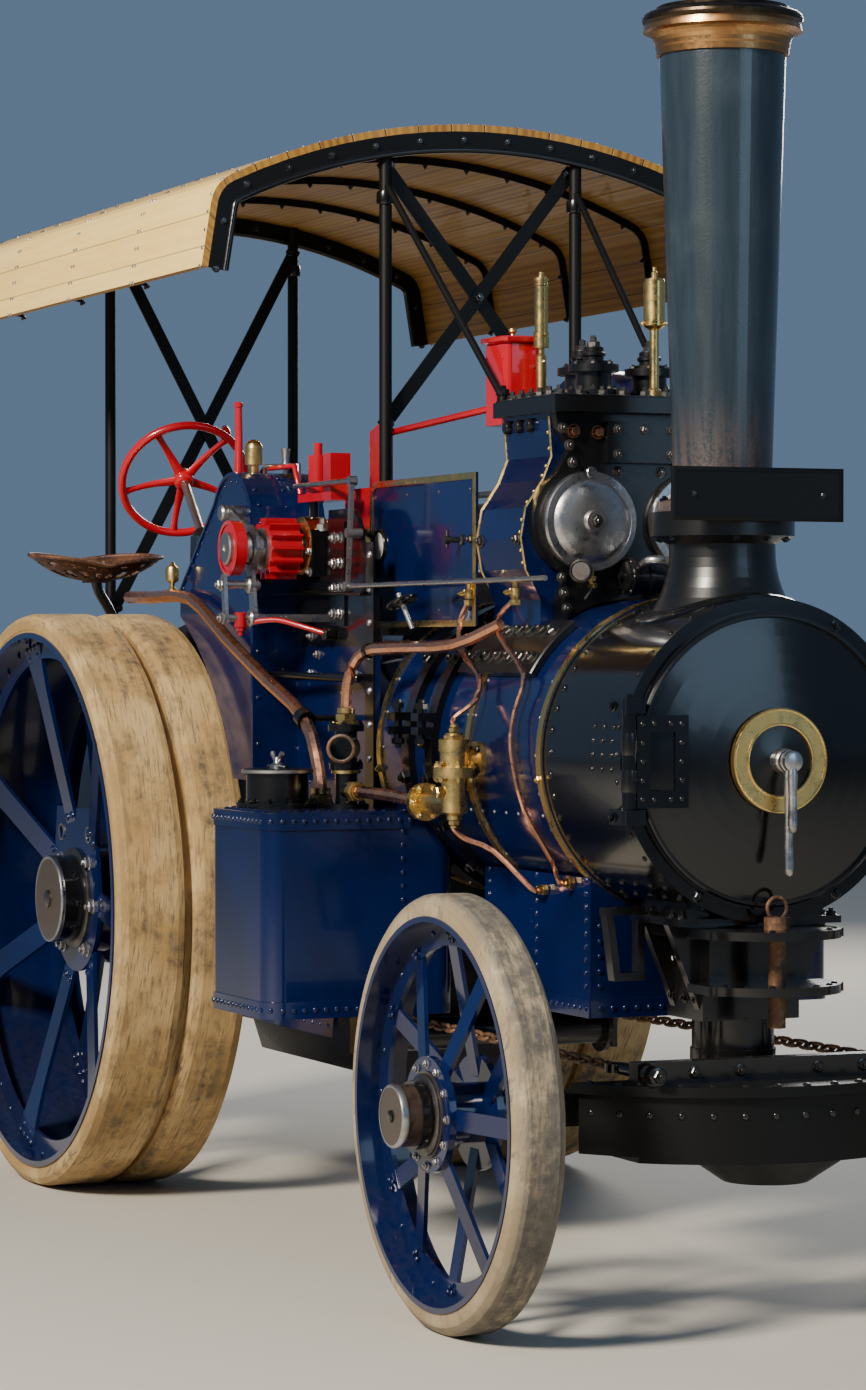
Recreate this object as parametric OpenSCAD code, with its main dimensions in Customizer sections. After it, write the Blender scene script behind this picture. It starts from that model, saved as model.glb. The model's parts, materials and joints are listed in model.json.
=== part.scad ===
// Steam traction engine with a wooden canopy, in millimetres, +X forward, +Y to its left, +Z up.
// Stations along X are measured from the rear axle, and every piece is then moved so that
// the origin lies on the ground under the middle of the machine.

/* [Layout] */
// Distance from the rear axle to the front axle
wheelbase = 3397; // [3380:1:3420]
// Height of the boiler's centre line
boiler_z = 1552; // [1548:1:1558]
// Radius of the lagged barrel
barrel_r = 450; // [446:1:454]
// Radius of the smokebox
smokebox_r = 447; // [443:1:449]
// Length of the lagging
lagging_len = 1220; // [1212:1:1226]
// Length of the smokebox
smokebox_len = 500; // [494:1:505]
// How far the smokebox reaches ahead of the front axle
smokebox_ahead = 203; // [195:1:208]
// Inner face of the hornplates, from the centre line
horn_y = 435; // [434:1:438]
// Thickness of the hornplates
horn_t = 16; // [12:1:18]

/* [Rear wheels] */
// Radius over the rubber
rear_r = 990; // [985:1:995]
// Width over the rim
rear_w = 461; // [455:1:465]
// Outer face of the rim, from the centre line
rear_y = 992; // [988:1:996]
// Thickness of the rubber
rear_rubber = 45; // [35:1:50]
// Gap between the two rubber strips
rear_gap = 25; // [15:1:35]
// Number of spokes on each ring
rear_spokes = 7; // [6:1:10]
// Width of a spoke
rear_spoke_w = 92; // [80:1:100]
// Radius of the hub cap
rear_cap_r = 150; // [140:1:155]
// Radius of the axle
rear_axle_r = 65; // [60:1:68]

/* [Front wheels] */
// Radius over the rubber
front_r = 597; // [594:1:600]
// Outer face of the rim, from the centre line
front_y = 924; // [918:1:930]
// Width of the rim
front_w = 150; // [144:1:156]
// Radius of the steel rim
front_rim_r = 536; // [530:1:540]
// Number of spokes
front_spokes = 12; // [8:2:16]
// Width of a spoke
front_spoke_w = 56; // [48:1:60]
// Radius of the stub axle
stub_r = 38; // [34:1:40]
// Outer end of the hub cap, from the centre line
front_cap_y = 1035; // [1030:1:1040]

/* [Chimney] */
// Distance of the chimney behind the smokebox's front face
chimney_back = 270; // [260:1:280]
// Height of the lip of the cap
chimney_top_z = 3653; // [3640:1:3665]
// Radius of the stack at its top
stack_top_r = 177; // [174:1:180]
// Radius of the stack at its foot
stack_foot_r = 140; // [137:1:144]
// Radius of the flue inside
flue_r = 112; // [100:1:118]

/* [Cylinder block] */
// Length of the block
block_len = 370; // [364:1:376]
// Distance of the block's front face behind the smokebox
block_back = 300; // [296:1:310]
// Radius of the two front covers
cover_r = 144; // [138:1:146]
// Distance of each cover from the centre line
cover_y = 170; // [166:1:174]
// Height of the covers
cover_z = 2228; // [2224:1:2234]

/* [Crank and flywheel] */
// Distance of the crankshaft behind the lagging
crank_back = 580; // [576:1:582]
// Crankshaft height
crank_z = 2180; // [2176:1:2184]
// Radius of the crankshaft
crank_r = 45; // [42:1:48]
// Throw of the cranks
crank_throw = 128; // [120:1:132]
// Radius of the flywheel
flywheel_r = 600; // [590:1:606]
// Width of the flywheel's rim
flywheel_w = 150; // [140:1:156]
// Radius over the pinion's teeth
pinion_r = 100; // [96:1:102]
// Number of teeth on the pinion
pinion_teeth = 14; // [12:1:16]

/* [Tanks and tender] */
// Outer face of the side tanks, from the centre line
tank_y = 950; // [944:1:954]
// Distance of the side tanks' front face ahead of the lagging's rear end
tank_ahead = 350; // [345:1:355]
// Length of the side tanks
tank_len = 500; // [490:1:505]
// Underside of the side tanks
tank_z0 = 755; // [750:1:760]
// Top of the side tanks
tank_z1 = 1370; // [1365:1:1375]
// Rear face of the tender, behind the rear axle
tender_back = 1380; // [1370:1:1390]
// Half width of the tender
tender_y = 452; // [450:1:458]
// Thickness of the tender's plates
tender_t = 10; // [8:1:12]
// Top of the coal space
tender_z1 = 1750; // [1740:1:1760]
// Top of the footplate
floor_z = 1130; // [1120:1:1140]

/* [Canopy] */
// Height of the roof's crown
roof_z = 3523; // [3515:1:3530]
// Radius of the roof's arch
roof_r = 1993; // [1980:1:2005]
// Radius of the roof's shoulders
shoulder_r = 120; // [110:1:130]
// Thickness of the boards
roof_t = 22; // [18:1:24]
// Rear edge of the roof, from the rear axle
roof_x0 = -1050; // [-1060:1:-1040]
// Radius of the posts
post_r = 20; // [18:1:21]
// Distance of the front posts from the centre line
front_post_y = 330; // [326:1:331]
// Distance of the rear posts from the centre line
rear_post_y = 366; // [362:1:370]

/* [Steering] */
// Rest centre of the handwheel, along X
helm_x = -106; // [-116:1:-100]
// Height of the handwheel's centre
helm_z = 2460; // [2450:1:2470]
// Radius of the handwheel
helm_r = 235; // [225:1:240]
// Slope of the handwheel's shaft below level
helm_slope = 33; // [32:1:34]

/* [Hidden] */
$fn = 64;
fit = 0.3;       // gap between curved faces that only seat on each other
run = 0.05;      // radial clearance of a running fit
smokebox_x1 = wheelbase + smokebox_ahead;
lagging_x1 = smokebox_x1 - smokebox_len;
lagging_x0 = lagging_x1 - lagging_len;
block_x1 = lagging_x1 - block_back;
block_x0 = block_x1 - block_len;
crank_x = lagging_x0 - crank_back;
tank_x1 = lagging_x0 + tank_ahead;
roof_x1 = lagging_x0 - 200;
front_reach = wheelbase + front_r;
drawbar_reach = 80;
rear_reach = tender_back + drawbar_reach;
middle_x = (front_reach - rear_reach) / 2;
roof_mid_z = roof_z - roof_r;
roof_turn = 25.5;     // where the roof's arch meets its shoulder, from upright
valance_lean = 9;     // outward lean of the valance
valance_len = 200;

// Points on an arc in a plane, from angle a0 to a1 in n steps
function arc(cx, cy, r, a0, a1, n) =
  [for (i = [0:n]) let (a = a0 + (a1 - a0) * i / n) [cx + r * cos(a), cy + r * sin(a)]];
function unit(v) = v / norm(v);

module from_axle() translate([-middle_x, 0, 0]) children();
module both_sides() {
  children();
  mirror([0, 1, 0]) children();
}
// Solid standing on a side outline drawn as (X, Z), from y0 to y1
module side_plate(y0, y1) translate([0, y1, 0]) rotate([90, 0, 0]) linear_extrude(y1 - y0) children();
// Solid standing on a front outline drawn as (Y, Z), from x0 to x1
module front_plate(x0, x1)
  translate([x0, 0, 0]) rotate([90, 0, 90]) linear_extrude(x1 - x0) children();
module tube_x(x0, x1, r, y = 0, z = 0) translate([x0, y, z]) rotate([0, 90, 0]) cylinder(h = x1 - x0, r = r);
module tube_y(y0, y1, r, x = 0, z = 0) translate([x, y1, z]) rotate([90, 0, 0]) cylinder(h = y1 - y0, r = r);
module block(x0, x1, y0, y1, z0, z1) translate([x0, y0, z0]) cube([x1 - x0, y1 - y0, z1 - z0]);
// Round bar from point a to point b
module bar(a, b, r) {
  d = b - a;
  translate(a) rotate([0, acos(d[2] / norm(d)), atan2(d[1], d[0])]) cylinder(h = norm(d), r = r);
}
module round_square(w, h, r) {
  square([w - 2 * r, h], center = true);
  square([w, h - 2 * r], center = true);
  for (sx = [-1, 1], sy = [-1, 1])
    translate([sx * (w / 2 - r), sy * (h / 2 - r)]) circle(r = r, $fn = 32);
}

// Rear wheels. In the wheel's own frame Z is its axis and z = 0 its outer face.
rear_rim_r = rear_r - rear_rubber - 20;
rear_ring_in = 72;    // depth of the spoke rings from the rim's edges
rear_cap_z = 74;      // depth of the hub cap's face from the rim's edge
hub_z0 = 187;         // depth of the hub's outer flange
hub_z1 = rear_w - 140;
hub_flange_r = 232;
rear_first = -100;    // turn of the first outer spoke, which stands nearly upright
// Flat spoke that widens to its riveted foot, from the hub to the ring, dished by rise
module rear_spoke(rise) {
  r0 = 165;
  r1 = rear_rim_r - 30;
  flare_from = 640;
  foot_w = rear_spoke_w * 1.9;
  function half_w(t) = rear_spoke_w / 2 + (foot_w - rear_spoke_w) / 2 * pow(t, 2.2);
  side = [for (i = [0:5]) let (t = i / 5) [flare_from + (r1 - flare_from) * t, half_w(t)]];
  translate([r0, 0, 0]) rotate([0, -atan(rise / (r1 - r0)), 0]) translate([-r0, 0, 0]) linear_extrude(14)
    polygon(concat([[r0, -rear_spoke_w / 2]], [for (q = side) [q[0], -q[1]]],
      [for (i = [5:-1:0]) side[i]], [[r0, rear_spoke_w / 2]]));
}
// Plate behind the hub cap that carries the driving pins, flat on top
module drive_plate() difference() {
  union() {
    circle(r = 255);
    polygon([[-250, -50], [-205, -315], [205, -315], [250, -50]]);
  }
  for (s = [-1, 1]) translate([s * 150, -225]) circle(r = 22, $fn = 32);
}
module rear_wheel_body() {
  pitch = 360 / rear_spokes;
  difference() {
    union() {
      // rim with its two riveted rings
      rotate_extrude($fn = 96) polygon([[rear_rim_r - 20, 0], [rear_rim_r, 0], [rear_rim_r, rear_w], [rear_rim_r - 20, rear_w],
        [rear_rim_r - 20, rear_w - rear_ring_in], [rear_rim_r - 88, rear_w - rear_ring_in],
        [rear_rim_r - 88, rear_w - rear_ring_in - 16], [rear_rim_r - 20, rear_w - rear_ring_in - 16],
        [rear_rim_r - 20, rear_ring_in + 16], [rear_rim_r - 88, rear_ring_in + 16], [rear_rim_r - 88, rear_ring_in],
        [rear_rim_r - 20, rear_ring_in]]);
      // hub with its cap and flanges
      rotate_extrude() polygon([[0, rear_cap_z], [rear_cap_r - 8, rear_cap_z], [rear_cap_r, rear_cap_z + 8],
        [rear_cap_r, hub_z0], [hub_flange_r, hub_z0], [hub_flange_r, hub_z0 + 16], [188, hub_z0 + 16], [188, hub_z1 - 16],
        [hub_flange_r, hub_z1 - 16], [hub_flange_r, hub_z1], [150, hub_z1], [150, rear_w - 30], [0, rear_w - 30]]);
      translate([0, 0, hub_z0 - 14]) linear_extrude(14.5) drive_plate();
      for (i = [0:rear_spokes - 1]) {
        rotate([0, 0, rear_first + i * pitch]) translate([0, 0, hub_z0 + 4]) rear_spoke_down();
        rotate([0, 0, rear_first + (i + 0.5) * pitch]) translate([0, 0, hub_z1 - 18]) rear_spoke_up();
      }
    }
    translate([0, 0, rear_cap_z + 30]) cylinder(h = rear_w, r = rear_axle_r + run);
  }
}
// Outer spokes rise towards the outer ring, inner ones towards the inner ring
module rear_spoke_down() rear_spoke(rear_ring_in - 10 - hub_z0 - 4);
module rear_spoke_up() rear_spoke(rear_w - rear_ring_in - 4 - hub_z1 + 18);
module rear_tyre_body() {
  bore_r = rear_rim_r + fit;
  outer_w = 250;
  module strip(z0, z1) rotate_extrude($fn = 120) polygon([[bore_r + 10, z0 + 4], [rear_r - 26, z0],
    [rear_r - 8, z0 + 10], [rear_r, z0 + 34], [rear_r, z1 - 34], [rear_r - 8, z1 - 10],
    [rear_r - 26, z1], [bore_r + 10, z1 - 4]]);
  strip(0, outer_w - rear_gap / 2);
  strip(outer_w + rear_gap / 2, rear_w);
  difference() {
    translate([0, 0, 6]) cylinder(h = rear_w - 12, r = bore_r + 20, $fn = 120);
    cylinder(h = rear_w, r = bore_r, $fn = 96);
  }
}
module on_rear_right() from_axle() translate([0, -rear_y, rear_r]) rotate([-90, 0, 0]) children();
module rear_wheel_right() color("midnightblue") on_rear_right() rear_wheel_body();
module rear_tyre_right() color("tan") on_rear_right() rear_tyre_body();
module rear_wheel_left() color("midnightblue") mirror([0, 1, 0]) on_rear_right() rear_wheel_body();
module rear_tyre_left() color("tan") mirror([0, 1, 0]) on_rear_right() rear_tyre_body();

axle_end_y = rear_y - rear_cap_z - 34;
module rear_axle() color("dimgray") from_axle() tube_y(-axle_end_y, axle_end_y, rear_axle_r, 0, rear_r);
gear_y0 = horn_y + horn_t + 8;
module gear_outline(r, teeth, depth) {
  circle(r = r - depth, $fn = 96);
  for (i = [0:teeth - 1]) rotate(i * 360 / teeth) polygon([[r - depth - 3, -0.30 * 360 / teeth * r * PI / 360],
    [r, -0.17 * 360 / teeth * r * PI / 360], [r, 0.17 * 360 / teeth * r * PI / 360],
    [r - depth - 3, 0.30 * 360 / teeth * r * PI / 360]]);
}
module axle_gear() color("dimgray") from_axle() translate([0, -gear_y0, rear_r]) rotate([90, 0, 0])
  linear_extrude(rear_y - rear_w - gear_y0 - 6) difference() {
    gear_outline(430, 56, 22);
    circle(r = rear_axle_r + fit);
    for (i = [0:4]) rotate(i * 72) translate([240, 0]) circle(r = 84);
  }

// Front wheels, in the same kind of frame
front_mid = front_w / 2;
hub_out = front_cap_y - front_y;
module front_wheel_body() {
  flange_z = 62;        // distance of each spoke flange from the wheel's middle
  ring_in_r = front_rim_r - 74;
  lean = atan(flange_z / (ring_in_r - 120));
  difference() {
    union() {
      difference() {
        cylinder(h = front_w, r = front_rim_r, $fn = 96);
        translate([0, 0, -1]) cylinder(h = front_w + 2, r = front_rim_r - 16, $fn = 96);
      }
      difference() {
        translate([0, 0, front_mid - 7]) cylinder(h = 14, r = front_rim_r - 8, $fn = 96);
        translate([0, 0, front_mid - 8]) cylinder(h = 16, r = ring_in_r - 6, $fn = 96);
      }
      for (i = [0:front_spokes - 1]) let (side = i % 2 == 0 ? -1 : 1) rotate([0, 0, i * 360 / front_spokes])
        translate([120, 0, front_mid + side * flange_z]) rotate([0, side * lean, 0])
          translate([-26, -front_spoke_w / 2, -6]) cube([ring_in_r - 74, front_spoke_w, 12]);
      translate([0, 0, front_mid - flange_z - 20]) cylinder(h = 2 * flange_z + 40, r = 82);
      for (z = [front_mid - flange_z - 18, front_mid + flange_z - 2])
        translate([0, 0, z]) cylinder(h = 20, r = 158);
      translate([0, 0, -hub_out]) cylinder(h = hub_out + front_mid, r = 84);
      translate([0, 0, -12]) cylinder(h = 30, r = 118);
    }
    translate([0, 0, -hub_out + 30]) cylinder(h = front_w + hub_out, r = stub_r + run);
  }
}
module front_tyre_body() {
  bore_r = front_rim_r + fit;
  rotate_extrude($fn = 96) polygon([[bore_r, 4], [front_r - 24, 8], [front_r - 6, 22], [front_r, 34],
    [front_r, front_w - 34], [front_r - 6, front_w - 22], [front_r - 24, front_w - 8], [bore_r, front_w - 4]]);
}
module on_front_right() from_axle() translate([wheelbase, -front_y, front_r]) rotate([-90, 0, 0]) children();
module front_wheel_right() color("midnightblue") on_front_right() front_wheel_body();
module front_tyre_right() color("tan") on_front_right() front_tyre_body();
module front_wheel_left() color("midnightblue") mirror([0, 1, 0]) on_front_right() front_wheel_body();
module front_tyre_left() color("tan") mirror([0, 1, 0]) on_front_right() front_tyre_body();

// Front axle and what turns with it
king_r = 35;
king_z = 745;           // top of the axle's king block
beam_y = front_y - front_w - 34;
module front_axle() color("black") from_axle() difference() {
  union() {
    block(wheelbase - 55, wheelbase + 55, -beam_y, beam_y, front_r - 45, front_r + 45);
    tube_y(-front_cap_y + 40, front_cap_y - 40, stub_r, wheelbase, front_r);
    translate([wheelbase, 0, front_r]) cylinder(h = king_z - front_r, r = 120);
    both_sides() tube_y(beam_y - 20, front_y - front_mid - 83, 70, wheelbase, front_r);
  }
  translate([wheelbase, 0, front_r - 60]) cylinder(h = 300, r = king_r + run);
}
apron_r = 640;
apron_back = 190;       // how far the apron's circle lies behind the axle
module apron_plan(r) intersection() {
  translate([wheelbase - apron_back, 0]) circle(r = r, $fn = 96);
  translate([wheelbase + 122, -600]) square([600, 1200]);
}
module axle_apron() color("black") from_axle() {
  // ledge on top, bowed panel below it, and the dished tray under the axle
  translate([0, 0, 652]) linear_extrude(28) apron_plan(apron_r);
  translate([0, 0, 486]) linear_extrude(166) difference() {
    apron_plan(apron_r - 22);
    translate([wheelbase - apron_back, 0]) circle(r = apron_r - 40, $fn = 96);
  }
  both_sides() block(wheelbase + 55, wheelbase + 135, 380, 440, 570, 652);
  translate([wheelbase - apron_back, 0, 470]) linear_extrude(16) intersection() {
    circle(r = apron_r - 22, $fn = 96);
    translate([apron_back + 20, -420]) square([600, 840]);
  }
  translate([wheelbase + 195, 0, 396]) cylinder(h = 74, r1 = 120, r2 = 230);
}
eye_x = wheelbase + 85;
eye_r = 34;
module steering_bar() color("black") from_axle() {
  bar_x = wheelbase + 250;
  block(bar_x - 26, bar_x + 26, -430, 430, 680, 742);
  both_sides() {
    tube_x(eye_x + 20, bar_x - 26, 17, 400, 711);
    tube_x(bar_x + 26, bar_x + 90, 17, 400, 711);
    tube_x(bar_x + 40, bar_x + 64, 30, 400, 711);
    translate([eye_x, 400, 699]) difference() {
      cylinder(h = 24, r = eye_r);
      translate([0, 0, -1]) cylinder(h = 26, r = 17);
    }
  }
}

// Perch bracket, drawbar jaw and pin under the smokebox
saddle_z = boiler_z - smokebox_r;
module perch_bracket() color("black") from_axle() {
  difference() {
    union() {
      block(wheelbase - 130, wheelbase + 130, -210, 210, 1060, saddle_z + 190);
      block(wheelbase - 110, wheelbase + 110, -150, 150, 830, 1060);
      translate([wheelbase, 0, king_z]) cylinder(h = 90, r = 115);
      block(wheelbase - 140, wheelbase + 170, -250, 250, saddle_z - 8, saddle_z + 12);
      both_sides() for (x = [wheelbase - 90, wheelbase + 60]) front_plate(x, x + 30)
        polygon([[150, 860], [250, saddle_z], [150, saddle_z]]);
    }
    tube_x(wheelbase - 400, wheelbase + 400, smokebox_r + fit, 0, boiler_z, $fn = 96);
  }
  translate([wheelbase, 0, front_r - 50]) cylinder(h = 160, r = king_r);
  // bent step bar on the right
  step_x = chimney_x;
  step_w = 22;
  for (seg = [[-250, -372, 1140, 1140 - step_w], [-250, -340, 935, 935 + step_w]])
    block(step_x - 20, step_x + 20, min(seg[0], seg[1]), max(seg[0], seg[1]), min(seg[2], seg[3]), max(seg[2], seg[3]));
  front_plate(step_x - 20, step_x + 20) polygon([[-372, 1140], [-350, 1140], [-322, 935], [-344, 935]]);
  block(step_x - 20, step_x + 20, -272, -250, 935, 1105);
}
jaw_x = wheelbase + 262;
module drawbar_jaw() color("black") from_axle() difference() {
  union() {
    for (z = [915, 1066]) translate([0, 0, z]) linear_extrude(24) {
      translate([wheelbase + 130, -208]) square([130, 416]);
      intersection() {
        translate([wheelbase + 180, 0]) circle(r = 215);
        translate([wheelbase + 200, -208]) square([300, 416]);
      }
    }
    block(wheelbase + 110 + fit, wheelbase + 150, -150, 150, 900, 1059);
  }
  translate([jaw_x, 0, 850]) cylinder(h = 300, r = 27);
}
module drawbar_pin() color("sienna") from_axle() {
  translate([jaw_x, 0, 820]) cylinder(h = 270, r = 24);
  translate([jaw_x, 0, 1090]) cylinder(h = 34, r = 36);
}

// Boiler
module boiler_barrel() color("midnightblue") from_axle() {
  tube_x(lagging_x0, lagging_x1, barrel_r, 0, boiler_z, $fn = 96);
  tube_x(firebox_x1, lagging_x0, horn_y - fit, 0, boiler_z);
}
module hoop(x, w, r) difference() {
  tube_x(x, x + w, r, 0, boiler_z, $fn = 96);
  tube_x(x - 1, x + w + 1, barrel_r + fit, 0, boiler_z, $fn = 96);
}
module boiler_bands() color("goldenrod") from_axle()
  for (x = [lagging_x0 + 2, block_x0 + 130, lagging_x1 - 34]) hoop(x, 32, barrel_r + 6);
clamp_w = 56;
clamp_h = 22;
clamp_x = [block_x0 - 310, block_x0 - 130];
module clamp_bands() color("black") from_axle() for (x = clamp_x) {
  hoop(x, clamp_w, barrel_r + clamp_h);
  // split ears on each side, drawn together by a bolt
  both_sides() {
    for (z = [48, 90]) block(x, x + clamp_w, barrel_r + 3, barrel_r + 66, boiler_z + z, boiler_z + z + 24);
    translate([x + clamp_w / 2, barrel_r + 44, boiler_z + 36]) cylinder(h = 90, r = 13);
  }
}
module smokebox() color("black") from_axle() {
  difference() {
    union() {
      tube_x(lagging_x1 + fit, smokebox_x1, smokebox_r, 0, boiler_z, $fn = 96);
      // fixed ears of the door's hinge
      for (z = [hinge_z0, hinge_z1 - 42]) translate([0, 0, z]) {
        block(smokebox_x1 - 60, hinge_x + 20, hinge_yr - 18, -door_r * cos(22) - 12, 0, 42);
        translate([hinge_x, hinge_yr, 0]) cylinder(h = 42, r = 20, $fn = 32);
      }
    }
    tube_x(lagging_x1 + 30, smokebox_x1 - 16, smokebox_r - 14, 0, boiler_z);
    tube_x(smokebox_x1 - 20, smokebox_x1 + 1, door_r - 30, 0, boiler_z);
    translate([chimney_x, 0, boiler_z]) cylinder(h = smokebox_r + 100, r = flue_r);
  }
  translate([hinge_x, hinge_yr, hinge_z0 - 12]) cylinder(h = hinge_z1 - hinge_z0 + 24, r = 9, $fn = 32);
}
door_r = 412;
hinge_x = smokebox_x1 + 28;
hinge_yr = -434;
hinge_z0 = 1380;
hinge_z1 = 1724;
door_x = smokebox_x1 + fit;
dish = 46;
module smokebox_door() color("black") from_axle() difference() {
  rim = door_r - 22;
  ball = (dish * dish + rim * rim) / (2 * dish);
  union() {
    // plate with a dished centre, turned about the boiler's axis
    translate([door_x, 0, boiler_z]) rotate([0, 90, 0]) rotate_extrude($fn = 96)
      polygon(concat([[0, 0], [door_r - 4, 0], [door_r, 4], [door_r, 14], [rim, 14]],
        [for (i = [7:-1:0]) let (q = rim * i / 8) [q, 14 + dish - ball + sqrt(ball * ball - q * q)]]));
    // strap frame of the hinge
    front_plate(door_x + 6, door_x + 42) difference() {
      polygon([[-418, hinge_z0 + 46], [-262, hinge_z0 + 46], [-262, hinge_z1 - 46], [-418, hinge_z1 - 46]]);
      polygon([[-378, hinge_z0 + 92], [-302, hinge_z0 + 92], [-302, hinge_z1 - 92], [-378, hinge_z1 - 92]]);
    }
    translate([hinge_x, hinge_yr, hinge_z0 + 46]) cylinder(h = hinge_z1 - hinge_z0 - 92, r = 20, $fn = 32);
  }
  translate([hinge_x, hinge_yr, hinge_z0]) cylinder(h = hinge_z1 - hinge_z0, r = 9 + run, $fn = 32);
}
module door_handle() color("goldenrod") from_axle() {
  face_x = door_x + 14 + dish;
  difference() {
    tube_x(face_x + fit, face_x + 18, 144, 0, boiler_z);
    tube_x(face_x + 8, face_x + 40, 96, 0, boiler_z);
  }
  tube_x(face_x + 8, face_x + 60, 26, 0, boiler_z);
  tube_x(face_x + 60, face_x + 96, 20, 0, boiler_z);
  // two handles hang down, one before the other
  for (h = [[66, 295, 9], [88, 175, 9]])
    translate([face_x + h[0], 0, boiler_z - h[1]]) cylinder(h = h[1], r1 = 14, r2 = h[2]);
}

// Chimney
chimney_x = smokebox_x1 - chimney_back;
neck_z = 2240;
flange_r = 203;
foot_ring_r = 185;
module chimney_base() color("black") from_axle() difference() {
  union() {
    translate([chimney_x, 0, 0]) rotate_extrude($fn = 96) polygon(concat([[0, boiler_z + 200], [239, boiler_z + 200]],
      [for (i = [0:8]) let (t = i / 8) [149 + 90 * pow(1 - t, 2.2), 1915 + (2140 - 1915) * t]],
      [[149, 2150], [flange_r, 2172], [flange_r, neck_z], [0, neck_z]]));
  }
  tube_x(lagging_x1 - 200, smokebox_x1 + 200, smokebox_r + fit, 0, boiler_z, $fn = 96);
  translate([chimney_x, 0, boiler_z]) cylinder(h = 900, r = flue_r);
}
module chimney_stack() color("dimgray") from_axle() translate([chimney_x, 0, 0]) difference() {
  rotate_extrude($fn = 96) polygon([[0, neck_z], [foot_ring_r, neck_z], [foot_ring_r, neck_z + 28], [stack_foot_r + 6, neck_z + 40],
    [stack_foot_r, neck_z + 120], [stack_top_r, chimney_top_z - 143], [stack_top_r, chimney_top_z - 136],
    [0, chimney_top_z - 136]]);
  translate([0, 0, neck_z - 1]) cylinder(h = chimney_top_z, r = flue_r);
}
module chimney_cap() color("peru") from_axle() translate([chimney_x, 0, chimney_top_z]) difference() {
  rotate_extrude($fn = 96) polygon(concat([[0, -136], [stack_top_r + 8, -136], [stack_top_r + 10, -118]],
    [for (i = [0:6]) let (a = 90 * i / 6) [stack_top_r + 12 + 34 * (1 - cos(a)), -112 + 44 * sin(a)]],
    arc(208, -34, 18, -50, 90, 6), [[190, -10], [186, 0], [0, 0]]));
  translate([0, 0, -200]) cylinder(h = 260, r = flue_r + 20);
}
plate_z = 2210;
module number_plate() color("black") from_axle() {
  plate_x = chimney_x + flange_r + 6;
  block(plate_x, plate_x + 10, -265, 265, plate_z, plate_z + 148);
  both_sides() block(chimney_x + sqrt(foot_ring_r * foot_ring_r - 3600) + fit, plate_x, 60, 90, neck_z + 8, neck_z + 22);
}

// Tanks
tank_inner_y = barrel_r + clamp_h + 4;
module side_tanks() color("midnightblue") from_axle() both_sides() difference() {
  translate([tank_x1 - tank_len, 0, tank_z0]) linear_extrude(tank_z1 - tank_z0) difference() {
    translate([tank_len / 2, (tank_y + horn_y - 100) / 2]) round_square(tank_len, tank_y - horn_y + 100, 60);
  }
  // hollow side that follows the barrel, and the chamfered lower edge
  tube_x(tank_x1 - tank_len - 10, tank_x1 + 10, tank_inner_y, 0, boiler_z, $fn = 96);
  block(tank_x1 - tank_len - 10, lagging_x0, 0, horn_y + horn_t + fit, tank_z0 - 10, tank_z1 + 10);
}
lifter_x = lagging_x0 + 85;
lifter_y = -590;
lifter_top = tank_z1 + 256;
branch_len = 58;
branch_z = 54;          // height of the feed branch above the tank
module water_lifter() color("black") from_axle() {
  // filler neck with its flange and lid
  translate([lagging_x0 - 20, -775, tank_z1]) {
    cylinder(h = 16, r = 128);
    cylinder(h = 118, r = 96);
    translate([0, 0, 104]) cylinder(h = 18, r = 108);
  }
  // lifter with its open mouth
  translate([lifter_x, lifter_y, tank_z1]) {
    cylinder(h = 14, r = 70);
    cylinder(h = 250, r = 34);
    tube_x(0, branch_len, 28, 0, branch_z);
    translate([0, 0, 120]) cylinder(h = 18, r = 52);
    translate([0, 0, lifter_top - tank_z1 - 20]) cylinder(h = 20, r = 56);
    translate([0, 0, 185]) difference() {
      rotate([0, 90, -30]) cylinder(h = 110, r = 44);
      rotate([0, 90, -30]) translate([0, 0, 50]) cylinder(h = 70, r = 34);
    }
  }
}
belly_x0 = clamp_x[1] + clamp_w + 6;
belly_y = 300;          // half its width
module belly_tank() color("midnightblue") from_axle() difference() {
  block(belly_x0, lagging_x1, -belly_y, belly_y, 810, 1240);
  tube_x(belly_x0 - 10, lagging_x1 + 10, barrel_r + fit + 6, 0, boiler_z, $fn = 96);
}

// Firebox and hornplates
firebox_x0 = 250;
firebox_x1 = lagging_x0 - 380;
module firebox() color("black") from_axle() {
  difference() {
    union() {
      tube_x(firebox_x0, firebox_x1, horn_y - fit, 0, boiler_z);
      block(firebox_x0, firebox_x1, -horn_y + fit, horn_y - fit, 700, boiler_z);
    }
    // furnace and fire hole
    block(firebox_x0 + 90, firebox_x1 - 90, -340, 340, 800, 1740);
    tube_x(firebox_x0 - 10, firebox_x0 + 100, 140, 0, 1400);
  }
  front_plate(firebox_x0 + 110, firebox_x1 - 100) polygon([[-330, 700], [330, 700], [260, 480], [-260, 480]]);
  // fire hole ring on the back plate
  difference() {
    tube_x(firebox_x0 - 22, firebox_x0 + 2, 190, 0, 1400);
    tube_x(firebox_x0 - 23, firebox_x0 + 3, 140, 0, 1400);
  }
  block(firebox_x0 - 30, firebox_x0 + 2, 196, 226, 1330, 1352);
  block(firebox_x0 - 30, firebox_x0 + 2, 196, 226, 1448, 1470);
  translate([firebox_x0 - 40, 211, 1326]) cylinder(h = 148, r = 7, $fn = 32);
  for (z = [1330, 1448]) translate([firebox_x0 - 40, 211, z]) cylinder(h = 22, r = 15, $fn = 32);
}
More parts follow.
